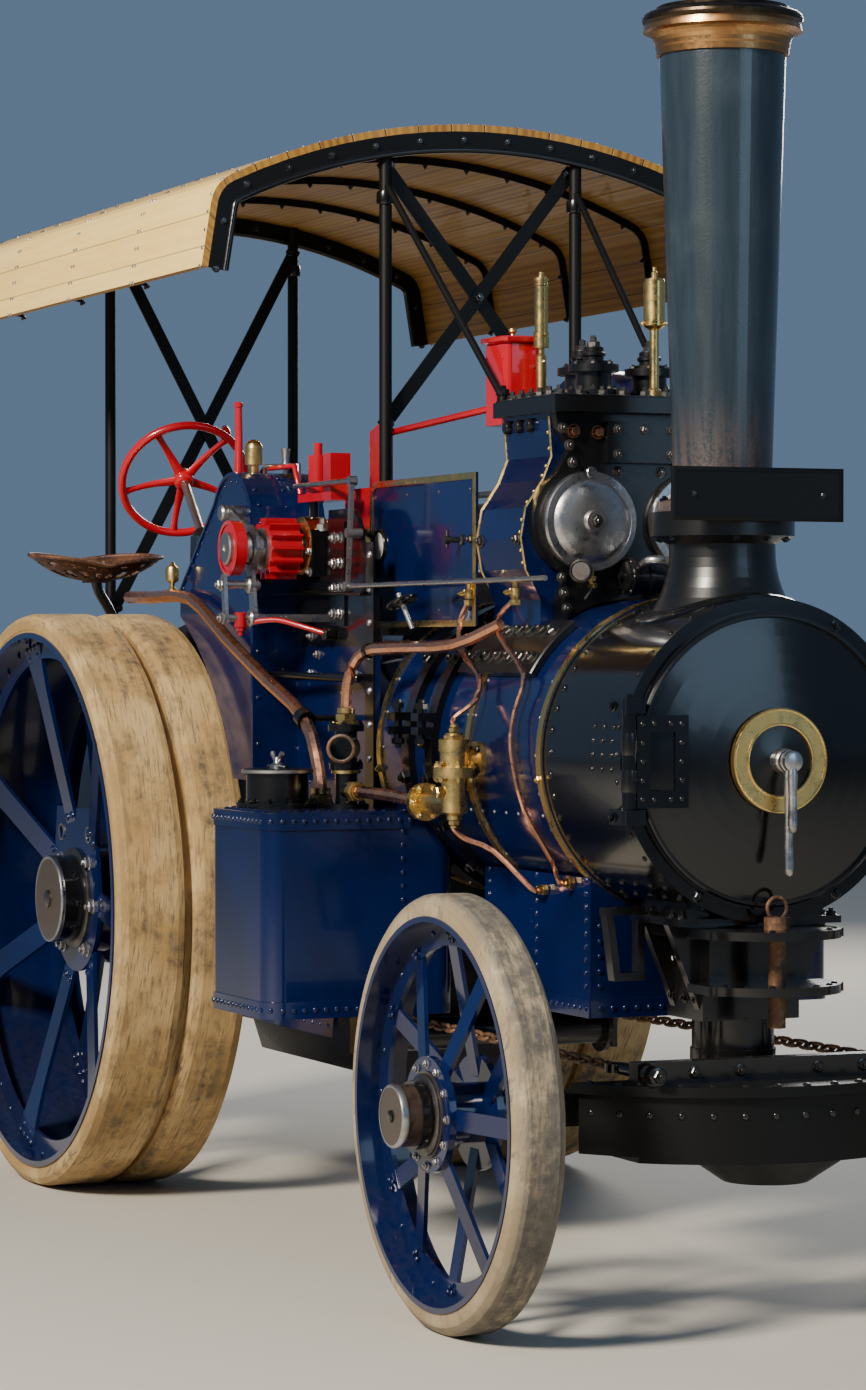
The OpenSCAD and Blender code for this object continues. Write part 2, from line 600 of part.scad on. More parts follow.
module fire_door() color("dimgray") from_axle() difference() {
  union() {
    tube_x(firebox_x0 - 36, firebox_x0 - 22 - fit, 168, 0, 1400);
    block(firebox_x0 - 46, firebox_x0 - 30, 120, 211, 1358, 1442);
    translate([firebox_x0 - 40, 211, 1358]) cylinder(h = 84, r = 15, $fn = 32);
    tube_x(firebox_x0 - 90, firebox_x0 - 30, 12, -120, 1400);
  }
  translate([firebox_x0 - 40, 211, 1300]) cylinder(h = 200, r = 7 + run, $fn = 32);
}
horn_x1 = lagging_x0 - 16;
module horn_outline() difference() {
  polygon(concat([[-300, 760], [-300, 1500], [-180, 1900], [420, 1990], [crank_x - 160, 2070],
    [crank_x - 150, crank_z - 90], [crank_x + 150, crank_z - 90], [crank_x + 170, 2300], [horn_x1 - 224, 2300]],
    arc(horn_x1 - 224, 2200, 100, 90, 0, 4), [[horn_x1, 2020], [horn_x1, 1130], [firebox_x1 + 60, 1000],
    [firebox_x1, 620], [300, 620]]));
  translate([0, rear_r]) circle(r = 100);
}
module hornplates() color("midnightblue") from_axle() both_sides() {
  side_plate(horn_y, horn_y + horn_t) horn_outline();
  // axle bearing
  difference() {
    tube_y(horn_y - 40, horn_y + horn_t + 6, 130, 0, rear_r);
    tube_y(horn_y - 60, horn_y + 60, rear_axle_r + run, 0, rear_r);
  }
  // crankshaft bearing, a block and its cap on the plate's edge
  difference() {
    union() {
      block(crank_x - 98, crank_x + 98, horn_y - 45, horn_y + 45, crank_z - 90, crank_z + 60);
      tube_y(horn_y - 45, horn_y + 45, 88, crank_x, crank_z + 10);
      translate([crank_x, horn_y, crank_z + 60]) cylinder(h = 90, r = 16);
    }
    tube_y(horn_y - 60, horn_y + 60, crank_r + run, crank_x, crank_z);
  }
}

// Motion, from the cylinders back to the cranks
motion_x0 = lagging_x0 - 280;
motion_z0 = 1925;
motion_z1 = 2385;
cover_out = 360;
module motion_covers() color("midnightblue") from_axle() both_sides() side_plate(cover_out - 8, cover_out)
  polygon(concat([[motion_x0, motion_z0]], arc(motion_x0 + 60, motion_z1 - 60, 60, 180, 90, 5),
    [[block_x0 - 1, motion_z1], [block_x0 - 1, motion_z0]]));
plate_x0 = lagging_x0 - 250;
module slide_bars() color("silver") from_axle() {
  // motion plate across the hornplates, which also carries the canopy's front posts
  difference() {
    block(plate_x0, plate_x0 + 50, -cover_out + 8 + fit, cover_out - 8 - fit, 1900, 2100);
    tube_x(plate_x0 - 10, plate_x0 + 60, horn_y, 0, boiler_z);
  }
  both_sides() block(plate_x0 + 2, plate_x0 + 48, cover_out - 9, horn_y - fit, 1816, 1915);
  for (y = [-cover_y, cover_y]) {
    for (z = [cover_z - 74, cover_z + 50]) block(plate_x0 + 50, block_x0 - fit, y - 35, y + 35, z, z + 24);
    block(plate_x0 + 50, plate_x0 + 66, y - 45, y + 45, 2090, cover_z + 90);
    block(plate_x0 + 10, plate_x0 + 50, y - 45, y + 45, 2090, cover_z + 90);
    block(block_x0 - 420, block_x0 - 320, y - 30, y + 30, cover_z - 49, cover_z + 49);
    tube_x(block_x0 - 330, block_x0 - fit, 22, y, cover_z);
  }
}

// Cylinder block
block_top_z = 2590;
module block_outline() polygon([[-300, 1800], [300, 1800], [300, 2000], [345, 2090], [360, 2180], [345, 2270],
  [290, 2350], [262, 2420], [270, 2545], [-270, 2545], [-262, 2420], [-290, 2350], [-345, 2270], [-360, 2180],
  [-345, 2090], [-300, 2000]]);
module plate_outline() polygon(concat([[-250, 1800], [250, 1800], [262, 2000]],
  arc(cover_y, cover_z, cover_r + 26, -70, 55, 8), [[222, 2440], [262, 2500], [270, 2545]],
  [[-270, 2545], [-262, 2500], [-222, 2440]], arc(-cover_y, cover_z, cover_r + 26, 125, 250, 8), [[-262, 2000]]));
module cylinder_cladding() color("midnightblue") from_axle() difference() {
  front_plate(block_x0, block_x1 - 40) block_outline();
  tube_x(block_x0 - 10, block_x1 + 10, barrel_r + 6 + fit, 0, boiler_z, $fn = 96);
}
module cylinder_block() color("black") from_axle() {
  difference() {
    front_plate(block_x1 - 40, block_x1) plate_outline();
    tube_x(block_x0 - 10, block_x1 + 10, barrel_r + 6 + fit, 0, boiler_z, $fn = 96);
  }
  block(block_x0 - 10, block_x1 + 60, -300, 300, 2545, block_top_z);
  block(block_x1 - 1, block_x1 + 34, -118, 118, 2400, 2520);
  // drain chest between and below the covers
  tube_y(-62, 62, 46, block_x1 + 46, 2068);
  for (y = [-62, -7, 48]) tube_y(y, y + 14, 54, block_x1 + 46, 2068);
  block(block_x1 - 1, block_x1 + 40, -50, 50, 2036, 2100);
}
module cylinder_covers() color("silver") from_axle() for (y = [-cover_y, cover_y]) {
  difference() {
    tube_x(block_x1 + fit, block_x1 + 34, cover_r, y, cover_z);
    translate([block_x1 + 26, y, cover_z]) rotate([0, 90, 0]) cylinder(h = 10, r1 = cover_r - 40, r2 = cover_r - 18);
  }
  tube_x(block_x1 + 20, block_x1 + 62, 24, y, cover_z);
}
module safety_valves() color("black") from_axle() for (p = [[180, -95], [330, -130], [210, 110]])
  translate([block_x0 + p[0], p[1], block_top_z]) {
    cylinder(h = 24, r = 78);
    cylinder(h = 108, r = 52);
    translate([0, 0, 76]) cylinder(h = 22, r = 74);
    translate([0, 0, 98]) cylinder(h = 50, r = 30);
  }
module brass_fittings() color("goldenrod") from_axle() {
  // whistle behind the flange, and the domed valve between the three chests
  translate([block_x0 + 40, -165, block_top_z]) rotate_extrude() polygon([[0, 0], [24, 0], [24, 30], [16, 38], [16, 140],
    [10, 150], [10, 166], [24, 166], [24, 196], [20, 202], [20, 366], [23, 366], [23, 374], [9, 380], [9, 392], [0, 392]]);
  translate([block_x0 + 350, 58, block_top_z]) rotate_extrude() polygon([[0, 0], [22, 0], [22, 26], [14, 34], [14, 204],
    [26, 210], [32, 216], [32, 346], [28, 354], [10, 354], [10, 372], [6, 376], [6, 388], [0, 388]]);
  // oil cup on the guard's hump, and the eccentric's brass ring beside the crank bearing
  translate([hump_x, -525, hump_z + hump_r]) rotate_extrude() polygon(concat([[0, 0], [16, 0], [16, 26], [29, 26]],
    arc(0, 80, 29, 0, 90, 6)));
}

// Crankshaft, flywheel and gear side
shaft_y0 = -735;
fly_y = 530;
module crankshaft() color("silver") from_axle() {
  web_t = 46;
  difference() {
    tube_y(shaft_y0, fly_y + flywheel_w + 40, crank_r, crank_x, crank_z);
    for (y = [-cover_y, cover_y])
      block(crank_x - 80, crank_x + 80, y - 50, y + 50, crank_z - 80, crank_z + 80);
  }
  for (i = [0, 1]) let (y = i == 0 ? -cover_y : cover_y, a = i == 0 ? 35 : 125)
    translate([crank_x, y, crank_z]) rotate([0, a, 0]) {
      for (s = [-1, 1]) translate([0, s * 73, 0]) rotate([90, 0, 0]) translate([0, 0, -web_t / 2]) linear_extrude(web_t) {
        circle(r = 70);
        translate([0, -58]) square([crank_throw, 116]);
        translate([crank_throw, 0]) circle(r = 58);
      }
      tube_y(-60, 60, 42, crank_throw, 0);
    }
}
module flywheel() color("midnightblue") from_axle()
  translate([crank_x, fly_y, crank_z]) rotate([-90, 0, 0]) difference() {
    union() {
      difference() {
        cylinder(h = flywheel_w, r = flywheel_r, $fn = 96);
        translate([0, 0, -1]) cylinder(h = flywheel_w + 2, r = flywheel_r - 55, $fn = 96);
      }
      cylinder(h = flywheel_w, r = 95);
      for (i = [0:5]) rotate([0, 0, i * 60]) translate([70, -32, flywheel_w / 2 - 22]) cube([flywheel_r - 110, 64, 44]);
    }
    translate([0, 0, -1]) cylinder(h = flywheel_w + 2, r = crank_r + fit);
  }
module crank_pinion() color("crimson") from_axle() {
  translate([crank_x, -505, crank_z]) rotate([90, 0, 0]) linear_extrude(105) difference() {
    gear_outline(pinion_r, pinion_teeth, 22);
    circle(r = crank_r + fit);
  }
  difference() {
    tube_y(shaft_y0 + 6, shaft_y0 + 40, 88, crank_x, crank_z);
    tube_y(shaft_y0 - 10, shaft_y0 + 60, crank_r + fit, crank_x, crank_z);
  }
}
guard_gap = 100;    // how far the splasher stands off the tyre
hump_r = 200;
hump_x = crank_x - pinion_r - hump_r - 12;
hump_z = crank_z + 58;
guard_end = (rear_r + guard_gap) * [cos(64), sin(64)] + [0, rear_r];   // upper rear end of the splasher
module gear_cover() color("midnightblue") from_axle() {
  // the hump reaches inward over the hornplate
  side_plate(-horn_y - horn_t - fit, -350) polygon(concat(arc(hump_x, hump_z, hump_r, 0, 180, 14),
    [[hump_x - hump_r, crank_z - 88], [hump_x + hump_r, crank_z - 88]]));
  side_plate(-600, -horn_y - horn_t - fit) polygon(concat(arc(hump_x, hump_z, hump_r, 0, 148, 12), [guard_end + [2, 90]],
    arc(0, rear_r, rear_r + guard_gap, 64, 24, 8), [[hump_x + hump_r, rear_r + 440]]));
}
yoke_y = -660;          // inner arm of the yoke, between the pinion and the red disc
module gear_levers() color("gray") from_axle() {
  // yoke that hangs around the crankshaft's end, pinned to the guard's face
  pin = [crank_x - 203, crank_z + 120];
  foot = [crank_x + 35, crank_z - 223];
  mid = [crank_x + 16, crank_z - 117];
  difference() {
    side_plate(yoke_y, yoke_y + 12) union() {
      translate([crank_x, crank_z]) circle(r = 76);
      polygon([pin + [-10, -20], pin + [16, 20], [crank_x + 40, crank_z + 50], [crank_x - 40, crank_z - 40]]);
      polygon([[crank_x - 24, crank_z - 50], mid + [-22, 0], foot + [-20, 0], foot + [20, 0], mid + [22, 0],
        [crank_x + 30, crank_z - 50]]);
      translate(pin) circle(r = 24);
      for (q = [mid, foot]) translate(q) circle(r = 25);
    }
    tube_y(yoke_y - 1, yoke_y + 20, crank_r + 8, crank_x, crank_z);
  }
  tube_y(yoke_y - 10, -600 - fit, 20, pin[0], pin[1]);
  tube_y(yoke_y + 20, -600 - fit, 26, pin[0], pin[1]);
  for (q = [mid, foot]) tube_y(yoke_y - 100, yoke_y + 32, 13, q[0], q[1]);
  for (q = [mid, foot]) tube_y(yoke_y + 10, yoke_y + 24, 20, q[0], q[1]);
  side_plate(yoke_y - 96, yoke_y - 84) polygon([mid + [-14, 34], foot + [-14, -14], foot + [14, -14], mid + [14, 34]]);
  // steady from the yoke's foot to the hornplate
  block(foot[0] - 20, foot[0] + 24, yoke_y + 11, -horn_y - horn_t, foot[1] - 12, foot[1] + 12);
}
module drain_rod() color("silver") from_axle() {
  // upright lever outside the hornplate, with its short and long rods
  lever_x = lagging_x0 - 140;
  lever_y = -horn_y - horn_t - 36;
  foot_x = lagging_x0 - 155;
  side_plate(lever_y - 8, lever_y + 4) polygon([[foot_x - 6, crank_z - 140], [foot_x + 8, crank_z - 140],
    [lever_x + 34, crank_z + 212], [lever_x + 12, crank_z + 212]]);
  tube_y(lever_y - 16, -horn_y - horn_t, 15, lever_x + 8, crank_z + 40);
  tube_x(crank_x - 30, lever_x + 23, 9, lever_y - 2, crank_z + 202);
  tube_y(lever_y - 14, lever_y + 12, 15, lever_x + 23, crank_z + 202);
  tube_y(lever_y - 14, lever_y + 12, 15, foot_x + 2, crank_z - 126);
  bar([foot_x, lever_y - 2, crank_z - 126], [block_x1 + 150, -372, crank_z - 120], 8);
}
module red_fittings() color("crimson") from_axle() {
  // lubricator and its driver on the crank bearing's stud
  base_z = crank_z + 150;
  stand_y = -horn_y;
  block(crank_x - 40, crank_x + 250, stand_y - 40, stand_y + 44, base_z, base_z + 26);
  translate([crank_x + 38, stand_y, base_z]) {
    cylinder(h = 44, r = 40);
    cylinder(h = 150, r = 32);
    cylinder(h = 190, r = 14);
  }
  block(crank_x + 168, crank_x + 232, stand_y - 34, stand_y + 34, base_z, base_z + 150);
  // casting between the crank bearing and the motion cover, and the plate that rises from it
  inner_y = -cover_out + 8;
  block(crank_x + 64, motion_x0 + 18, inner_y, -292, crank_z + 58, crank_z + 190);
  side_plate(-306, -292) polygon([[crank_x + 160, crank_z + 180], [motion_x0 + 20, crank_z + 180],
    [motion_x0 + 20, crank_z + 420], [crank_x + 160, crank_z + 372]]);
  // rod that runs forward to the cabinet behind the cylinder block
  cab_x = block_x0 - 90;
  bar([motion_x0 + 6, -299, crank_z + 362], [cab_x - 30, -225, crank_z + 410], 11);
  translate([cab_x, -200, block_top_z - 60]) {
    linear_extrude(240) round_square(160, 120, 22);
    translate([0, 0, 240]) linear_extrude(16) round_square(148, 108, 18);
  }
}

// Tender, footplate and seat
bunker_x1 = -760;
module tender() color("midnightblue") from_axle() {
  tender_x1 = -300 - fit;
  difference() {
    union() {
      side_plate(-tender_y, tender_y) polygon(concat([[-tender_back, 700], [tender_x1, 700], [tender_x1, 1500],
        [-420, 1560], [-520, tender_z1 - 100]], arc(-600, tender_z1 - 70, 70, 0, 90, 4), [[-tender_back, tender_z1]]));
    }
    // coal space
    block(-tender_back + tender_t, bunker_x1 - tender_t, -tender_y + tender_t, tender_y - tender_t, floor_z, tender_z1 + 10);
    // standing place
    block(bunker_x1, tender_x1 + 10, -tender_y + tender_t, tender_y - tender_t, floor_z - 30, tender_z1 + 10);
    // shovelling hole between them
    block(bunker_x1 - 50, bunker_x1 + 10, -170, 170, floor_z, floor_z + 330);
  }
}
module footplate() color("saddlebrown") from_axle()
  for (i = [0:3]) let (w = (2 * (tender_y - tender_t) - 2) / 4)
    block(bunker_x1 + 1, -300 - 1, -tender_y + tender_t + 1 + i * w, -tender_y + tender_t - 1 + (i + 1) * w, floor_z - 30, floor_z);
seat_x = -550;
seat_y = -560;
seat_z = 2 * rear_r + 130;
module seat() color("sienna") from_axle() {
  translate([seat_x, seat_y, seat_z]) difference() {
    intersection() {
      translate([0, 0, 560]) sphere(r = 570, $fn = 96);
      cylinder(h = 120, r = 240);
    }
    translate([0, 0, 572]) sphere(r = 570, $fn = 96);
    for (i = [0:9]) rotate([0, 0, i * 36 + 18]) translate([140, -11, -20]) cube([70, 22, 200]);
    translate([180, -300, -30]) cube([200, 600, 200]);
  }
  // cranked post, clipped to the outside of the tender
  post_y = -tender_y - 23;
  bar([seat_x, post_y, 1560], [seat_x, post_y, seat_z - 200], 20);
  bar([seat_x, post_y, seat_z - 210], [seat_x, seat_y, seat_z + 4], 20);
  for (z = [1580, 1680]) block(seat_x - 34, seat_x + 34, post_y - 10, -tender_y, z, z + 36);
}

// Steering gear
helm_y = -380;
helm_dir = [cos(helm_slope) * 0.9903, -0.13917 * cos(helm_slope), -sin(helm_slope)];
helm = [helm_x, helm_y, helm_z];
column_t = 420;       // distance from the handwheel to the bearing on the hornplate
module along_helm() translate(helm) rotate([0, 90 + helm_slope, atan2(helm_dir[1], helm_dir[0])]) children();
module steering_wheel() color("crimson") from_axle() along_helm() {
  rotate_extrude($fn = 64) translate([helm_r - 14, 0]) circle(r = 14, $fn = 24);
  cylinder(h = 50, r = 34, center = true);
  for (i = [0:4]) rotate([0, 0, i * 72]) translate([25, -11, -8]) cube([helm_r - 40, 22, 16]);
  cylinder(h = column_t + 60, r = 15);
}
module steering_column() color("black") from_axle() {
  difference() {
    union() {
      along_helm() translate([0, 0, column_t - 40]) cylinder(h = 70, r = 34);
      // foot that stands against the outside of the right hornplate
      side_plate(-horn_y - horn_t - 18, -horn_y - horn_t)
        polygon([[190, 1760], [320, 1760], [275, 2250], [215, 2250]]);
    }
    along_helm() cylinder(h = 900, r = 15 + run);
  }
}
drum_x = plate_x0 + 50;
drum_z = 640;
module chain_barrel() color("black") from_axle() {
  tube_y(-430, 430, 52, drum_x, drum_z);
  both_sides() {
    side_plate(horn_y - 18, horn_y) polygon([[drum_x - 70, drum_z - 60], [drum_x + 70, drum_z - 60],
      [drum_x + 70, 1190], [drum_x - 70, 1190]]);
    tube_y(horn_y - 34, horn_y - 18, 80, drum_x, drum_z);
  }
}
chain_a = [drum_x + 30, 330, drum_z + 66];
chain_b = [eye_x - eye_r - 10, 398, 711];
// Plain round-ended link, w wide and len long
module link_outline(w, len) {
  square([w, len - w], center = true);
  for (s = [-1, 1]) translate([0, s * (len - w) / 2]) circle(r = w / 2, $fn = 8);
}
module steering_chains() color("dimgray") from_axle() both_sides() {
  n = 24;
  d = chain_b - chain_a;
  pitch = norm(d) / n;
  for (i = [0:n - 1]) translate(chain_a + d * (i + 0.5) / n)
    rotate([0, acos(d[2] / norm(d)), atan2(d[1], d[0])]) rotate([0, 0, i % 2 * 90]) rotate([90, 0, 0])
      linear_extrude(9, center = true) difference() {
        link_outline(32, pitch + 2 * fit + 18);
        link_outline(14, pitch + 2 * fit);
      }
}

// Canopy
function roof_path(d, n = 9) = let (r = roof_r - d, sr = shoulder_r - d,
    sy = (roof_r - shoulder_r) * sin(roof_turn), sz = roof_mid_z + (roof_r - shoulder_r) * cos(roof_turn),
    tip = [sy + sr * cos(valance_lean), sz + sr * sin(valance_lean)])
  concat([for (i = [0:n]) let (a = roof_turn * i / n) [r * sin(a), roof_mid_z + r * cos(a)]],
    [for (i = [1:5]) let (a = 90 - roof_turn - (90 - roof_turn - valance_lean) * i / 5) [sy + sr * cos(a), sz + sr * sin(a)]],
    [tip + (valance_len) * [sin(valance_lean), -cos(valance_lean)]]);
function mirrored(p) = [for (i = [len(p) - 1:-1:1]) [-p[i][0], p[i][1]]];
module roof_band(d0, d1) polygon(concat(mirrored(roof_path(d0)), roof_path(d0),
  [for (i = [len(roof_path(d1)) - 1:-1:0]) roof_path(d1)[i]], [for (q = [1:len(roof_path(d1)) - 1]) [-roof_path(d1)[q][0], roof_path(d1)[q][1]]]));
module canopy_roof() color("burlywood") from_axle() front_plate(roof_x0, roof_x1) roof_band(0, roof_t);
arch_t = 8;
arch_d = 80;
module canopy_arches() color("black") from_axle() {
  for (x = [roof_x1 - arch_t, roof_x0 + 60]) front_plate(x, x + arch_t) roof_band(roof_t + fit, arch_d);
  for (i = [1:3]) let (x = roof_x0 + 60 + (roof_x1 - roof_x0 - 60) * i / 4)
    front_plate(x, x + 6) roof_band(roof_t + fit, roof_t + 26);
}
front_post_x = roof_x1 - arch_t - post_r - fit;
rear_post_x = roof_x0 + 60 + arch_t + post_r + fit;
function under_roof(y) = roof_mid_z + sqrt(pow(roof_r - roof_t, 2) - y * y) - 1.6;
module canopy_posts() color("black") from_axle() both_sides() {
  translate([front_post_x, front_post_y, 2100]) cylinder(h = under_roof(front_post_y + post_r) - 2100, r = post_r);
  translate([rear_post_x, rear_post_y, tender_z1]) cylinder(h = under_roof(rear_post_y + post_r) - tender_z1, r = post_r);
  block(rear_post_x - 30, rear_post_x + 30, rear_post_y - 26, tender_y, tender_z1, tender_z1 + 16);
  bar([front_post_x, front_post_y, 3330], [block_x0 + 20, 280, block_top_z + 12], 11);
  translate([block_x0 + 20, 280, block_top_z]) cylinder(h = 26, r = 19);
}
module cross_bar(y, z0, z1) {
  len = norm([2 * y, z1 - z0]);
  rotate([atan2(z1 - z0, 2 * y), 0, 0]) translate([0, -len / 2, -22]) cube([8, len, 44]);
}
module canopy_braces() color("black") from_axle() {
  // side, post station, post distance, lower and upper ends
  for (b = [[-1, front_post_x, front_post_y, 2560, 3400], [1, rear_post_x, rear_post_y, 2000, 3380]]) {
    x = b[1] + b[0] * (post_r + fit);
    mid = (b[3] + b[4]) / 2;
    translate([b[0] > 0 ? x : x - 8, 0, mid]) cross_bar(b[2], b[3], b[4]);
    translate([b[0] > 0 ? x + 8 + fit : x - 16 - fit, 0, mid]) mirror([0, 1, 0]) cross_bar(b[2], b[3], b[4]);
  }
}

// Clack valve on the barrel's side, and the copper pipes, swept along hand-picked routes
clack_x = block_x0 + 230;
clack_y = -530;
clack_z = 1510;         // joint of its two flanges
clack_reach = 230;      // length of its inlet elbow
function mid_route(p, n) = [for (i = [0:len(p) - 2], j = [0:n - 1]) let (t = j / n,
    a = p[max(i - 1, 0)], b = p[i], c = p[i + 1], d = p[min(i + 2, len(p) - 1)])
  0.5 * (2 * b + (c - a) * t + (2 * a - 5 * b + 4 * c - d) * t * t + (3 * b - a - 3 * c + d) * t * t * t)];
module pipe(route, r, n = 3, sides = 8) {
  p = concat(mid_route(route, n), [route[len(route) - 1]]);
  m = len(p);
  function side_of(t) = unit(cross(t, abs(t[2]) > 0.9 ? [1, 0, 0] : [0, 0, 1]));
  rings = [for (i = [0:m - 1]) let (t = unit(p[min(i + 1, m - 1)] - p[max(i - 1, 0)]), u = side_of(t), v = cross(t, u))
    for (k = [0:sides - 1]) p[i] + r * (cos(k * 360 / sides) * u + sin(k * 360 / sides) * v)];
  polyhedron(points = rings, faces = concat([[for (k = [0:sides - 1]) k]],
    [for (i = [0:m - 2], k = [0:sides - 1]) [i * sides + k, (i + 1) * sides + k, (i + 1) * sides + (k + 1) % sides, i * sides + (k + 1) % sides]],
    [[for (k = [sides - 1:-1:0]) (m - 1) * sides + k]]), convexity = 6);
}
module copper_pipes() color("peru") from_axle() {
  // feed pipe over the rear wheel, as shares of its way to the tank
  feed_x = lagging_x0 - 100;
  over_z = 2 * rear_r + 55;
  pipe([[-60, -600, over_z + 5], [0.17 * feed_x, -640, over_z], [0.39 * feed_x, -640, over_z - 10],
    [0.59 * feed_x, -640, 1890], [0.76 * feed_x, -620, 1760], [0.92 * feed_x, -600, 1640],
    [0.99 * feed_x, -600, 1480], [feed_x, -600, tank_z1 + 1]], 21);
  // delivery pipe from the lifter along the barrel
  end_x = block_x0 + 270;
  pipe([[lifter_x, lifter_y, lifter_top + 1], [lifter_x + 1, lifter_y, lifter_top + 64], [lifter_x + 25, -588, lifter_top + 154],
    [lifter_x + 85, -560, 1850], [end_x - 450, -520, 1862], [end_x - 180, -470, 1870], [end_x, -400, 1930]], 18);
  // feed from the lifter's branch to the clack valve
  clack_end = clack_x - clack_reach;
  pipe([for (d = [0.2, 20, 40, 70]) [lifter_x + branch_len + d, lifter_y, tank_z1 + branch_z],
    [clack_end - 170, clack_y - 24, clack_z - 94],
    for (d = [70, 40, 20, 0.2]) [clack_end - d, clack_y, clack_z - 105]], 18);
  // thin pipes from the cocks under the block, and the clack valve's drain
  clack_top = [for (d = [44, 22, fit]) [clack_x, clack_y, clack_z + 103 + d]];
  clack_foot = [for (d = [fit, 14, 28]) [clack_x, clack_y, clack_z - 150 - d]];
  for (route = [
    concat([[block_x0 - 20, -372, 2005], [block_x0 - 24, -402, 1935], [block_x0 + 50, -430, 1849], [block_x0 + 180, -432, 1782],
      [block_x0 + 236, -462, 1712]], clack_top),
    [[block_x0 + 290, -362, 2003], [block_x0 + 236, -388, 1954], [block_x0 + 268, -402, 1893], [block_x0 + 490, -426, 1783],
      [block_x0 + 505, -462, 1672], [block_x0 + 525, -480, 1564], [block_x0 + 560, -455, 1399], [block_x0 + 565, -374, 1257],
      [block_x0 + 560, -345, 1190], [block_x0 + 560, -320, 1190], [block_x0 + 560, -belly_y - fit, 1190]],
    concat(clack_foot, [[clack_x + 12, clack_y + 30, clack_z - 205], [clack_x + 60, -430, 1270],
      [clack_x + 145, -350, 1165], [clack_x + 150, -325, 1160], [clack_x + 150, -belly_y - fit, 1160]])])
    pipe(route, 8, 3, 6);
}
module clack_valve() color("goldenrod") from_axle() difference() {
  union() {
    // body with its bolted flanges and cap
    translate([clack_x, clack_y, clack_z]) rotate_extrude() polygon([[0, -150], [22, -150], [22, -138], [38, -128], [38, -28],
      [62, -28], [62, 4], [42, 4], [42, 50], [46, 50], [46, 84], [26, 90], [26, 103], [0, 103]]);
    tube_x(clack_x - clack_reach, clack_x, 32, clack_y, clack_z - 105);
    tube_x(clack_x - clack_reach, clack_x - clack_reach + 24, 56, clack_y, clack_z - 105);
    // neck and pad on the barrel
    tube_y(clack_y, -barrel_r + 30, 28, clack_x, clack_z + 26);
    tube_y(-barrel_r - 16, -barrel_r + 30, 52, clack_x, clack_z + 26);
  }
  tube_x(clack_x - 300, clack_x + 300, barrel_r + fit, 0, boiler_z, $fn = 96);
}

module rear_drawbar() color("black") from_axle() difference() {
  union() {
    block(-tender_back - drawbar_reach, -tender_back - fit, -90, 90, 760, 784);
    block(-tender_back - drawbar_reach, -tender_back - fit, -90, 90, 860, 884);
    block(-tender_back - 20, -tender_back - fit, -110, 110, 740, 904);
  }
  translate([-tender_back - 45, 0, 700]) cylinder(h = 300, r = 22);
}

rear_wheel_right();
rear_tyre_right();
rear_wheel_left();
rear_tyre_left();
rear_axle();
axle_gear();
front_wheel_right();
front_tyre_right();
front_wheel_left();
front_tyre_left();
front_axle();
axle_apron();
steering_bar();
perch_bracket();
drawbar_jaw();
drawbar_pin();
boiler_barrel();
boiler_bands();
clamp_bands();
smokebox();
smokebox_door();
door_handle();
chimney_base();
chimney_stack();
chimney_cap();
number_plate();
belly_tank();
side_tanks();
water_lifter();
firebox();
fire_door();
hornplates();
motion_covers();
slide_bars();
cylinder_block();
cylinder_cladding();
cylinder_covers();
safety_valves();
brass_fittings();
crankshaft();
flywheel();
crank_pinion();
gear_cover();
gear_levers();
tender();
footplate();
seat();
steering_column();
steering_wheel();
chain_barrel();
steering_chains();
canopy_roof();
canopy_arches();
canopy_posts();
canopy_braces();
copper_pipes();
rear_drawbar();
clack_valve();
red_fittings();
drain_rod();
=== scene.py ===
import json
import math
import random

import bpy
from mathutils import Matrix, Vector


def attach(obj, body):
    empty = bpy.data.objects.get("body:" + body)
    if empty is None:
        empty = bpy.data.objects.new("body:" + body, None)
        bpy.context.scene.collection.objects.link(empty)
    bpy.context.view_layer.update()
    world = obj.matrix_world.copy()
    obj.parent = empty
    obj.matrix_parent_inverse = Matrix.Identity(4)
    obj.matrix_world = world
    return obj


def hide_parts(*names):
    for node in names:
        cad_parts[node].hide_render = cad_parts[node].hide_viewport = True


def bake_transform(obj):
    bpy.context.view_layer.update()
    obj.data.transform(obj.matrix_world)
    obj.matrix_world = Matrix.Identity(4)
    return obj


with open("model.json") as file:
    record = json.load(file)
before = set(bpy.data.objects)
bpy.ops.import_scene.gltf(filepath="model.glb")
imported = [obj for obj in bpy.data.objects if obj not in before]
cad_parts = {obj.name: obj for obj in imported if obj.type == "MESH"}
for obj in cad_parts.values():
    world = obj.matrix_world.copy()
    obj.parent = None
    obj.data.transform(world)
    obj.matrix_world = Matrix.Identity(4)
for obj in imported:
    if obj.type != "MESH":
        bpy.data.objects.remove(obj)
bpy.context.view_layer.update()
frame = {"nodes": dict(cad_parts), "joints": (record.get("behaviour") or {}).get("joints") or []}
nodes = frame["nodes"]
joints = {j["name"]: Vector(j["pos_m"]) for j in frame["joints"]}
rearAxle = Vector((joints["rear_right_spin"].x, 0, joints["rear_right_spin"].z))
frontAxle = Vector((joints["front_steer"].x, 0, joints["front_right_spin"].z))
boilerZ = joints["smoke_door_swing"].z
dice = random.Random(7)
up = Vector((0, 0, 1))
ahead = Vector((1, 0, 0))
leftward = Vector((0, 1, 0))
sides = (-1, 1)
fullTurn = 2 * math.pi


# A point whose x is measured forward from the rear axle
def at(x, y, z):
    return Vector((rearAxle.x + x, y, z))


def step(x, y, z):
    return Vector((x, y, z))


# Direction in a flat outline, at an angle in degrees
def bearing(angle, length=1.0):
    return Vector((math.cos(math.radians(angle)), math.sin(math.radians(angle)))) * length


# Two directions square to an axis
def across(axis):
    axis = axis.normalized()
    side = axis.cross(up if abs(axis.z) < 0.9 else ahead).normalized()
    return side, axis.cross(side)


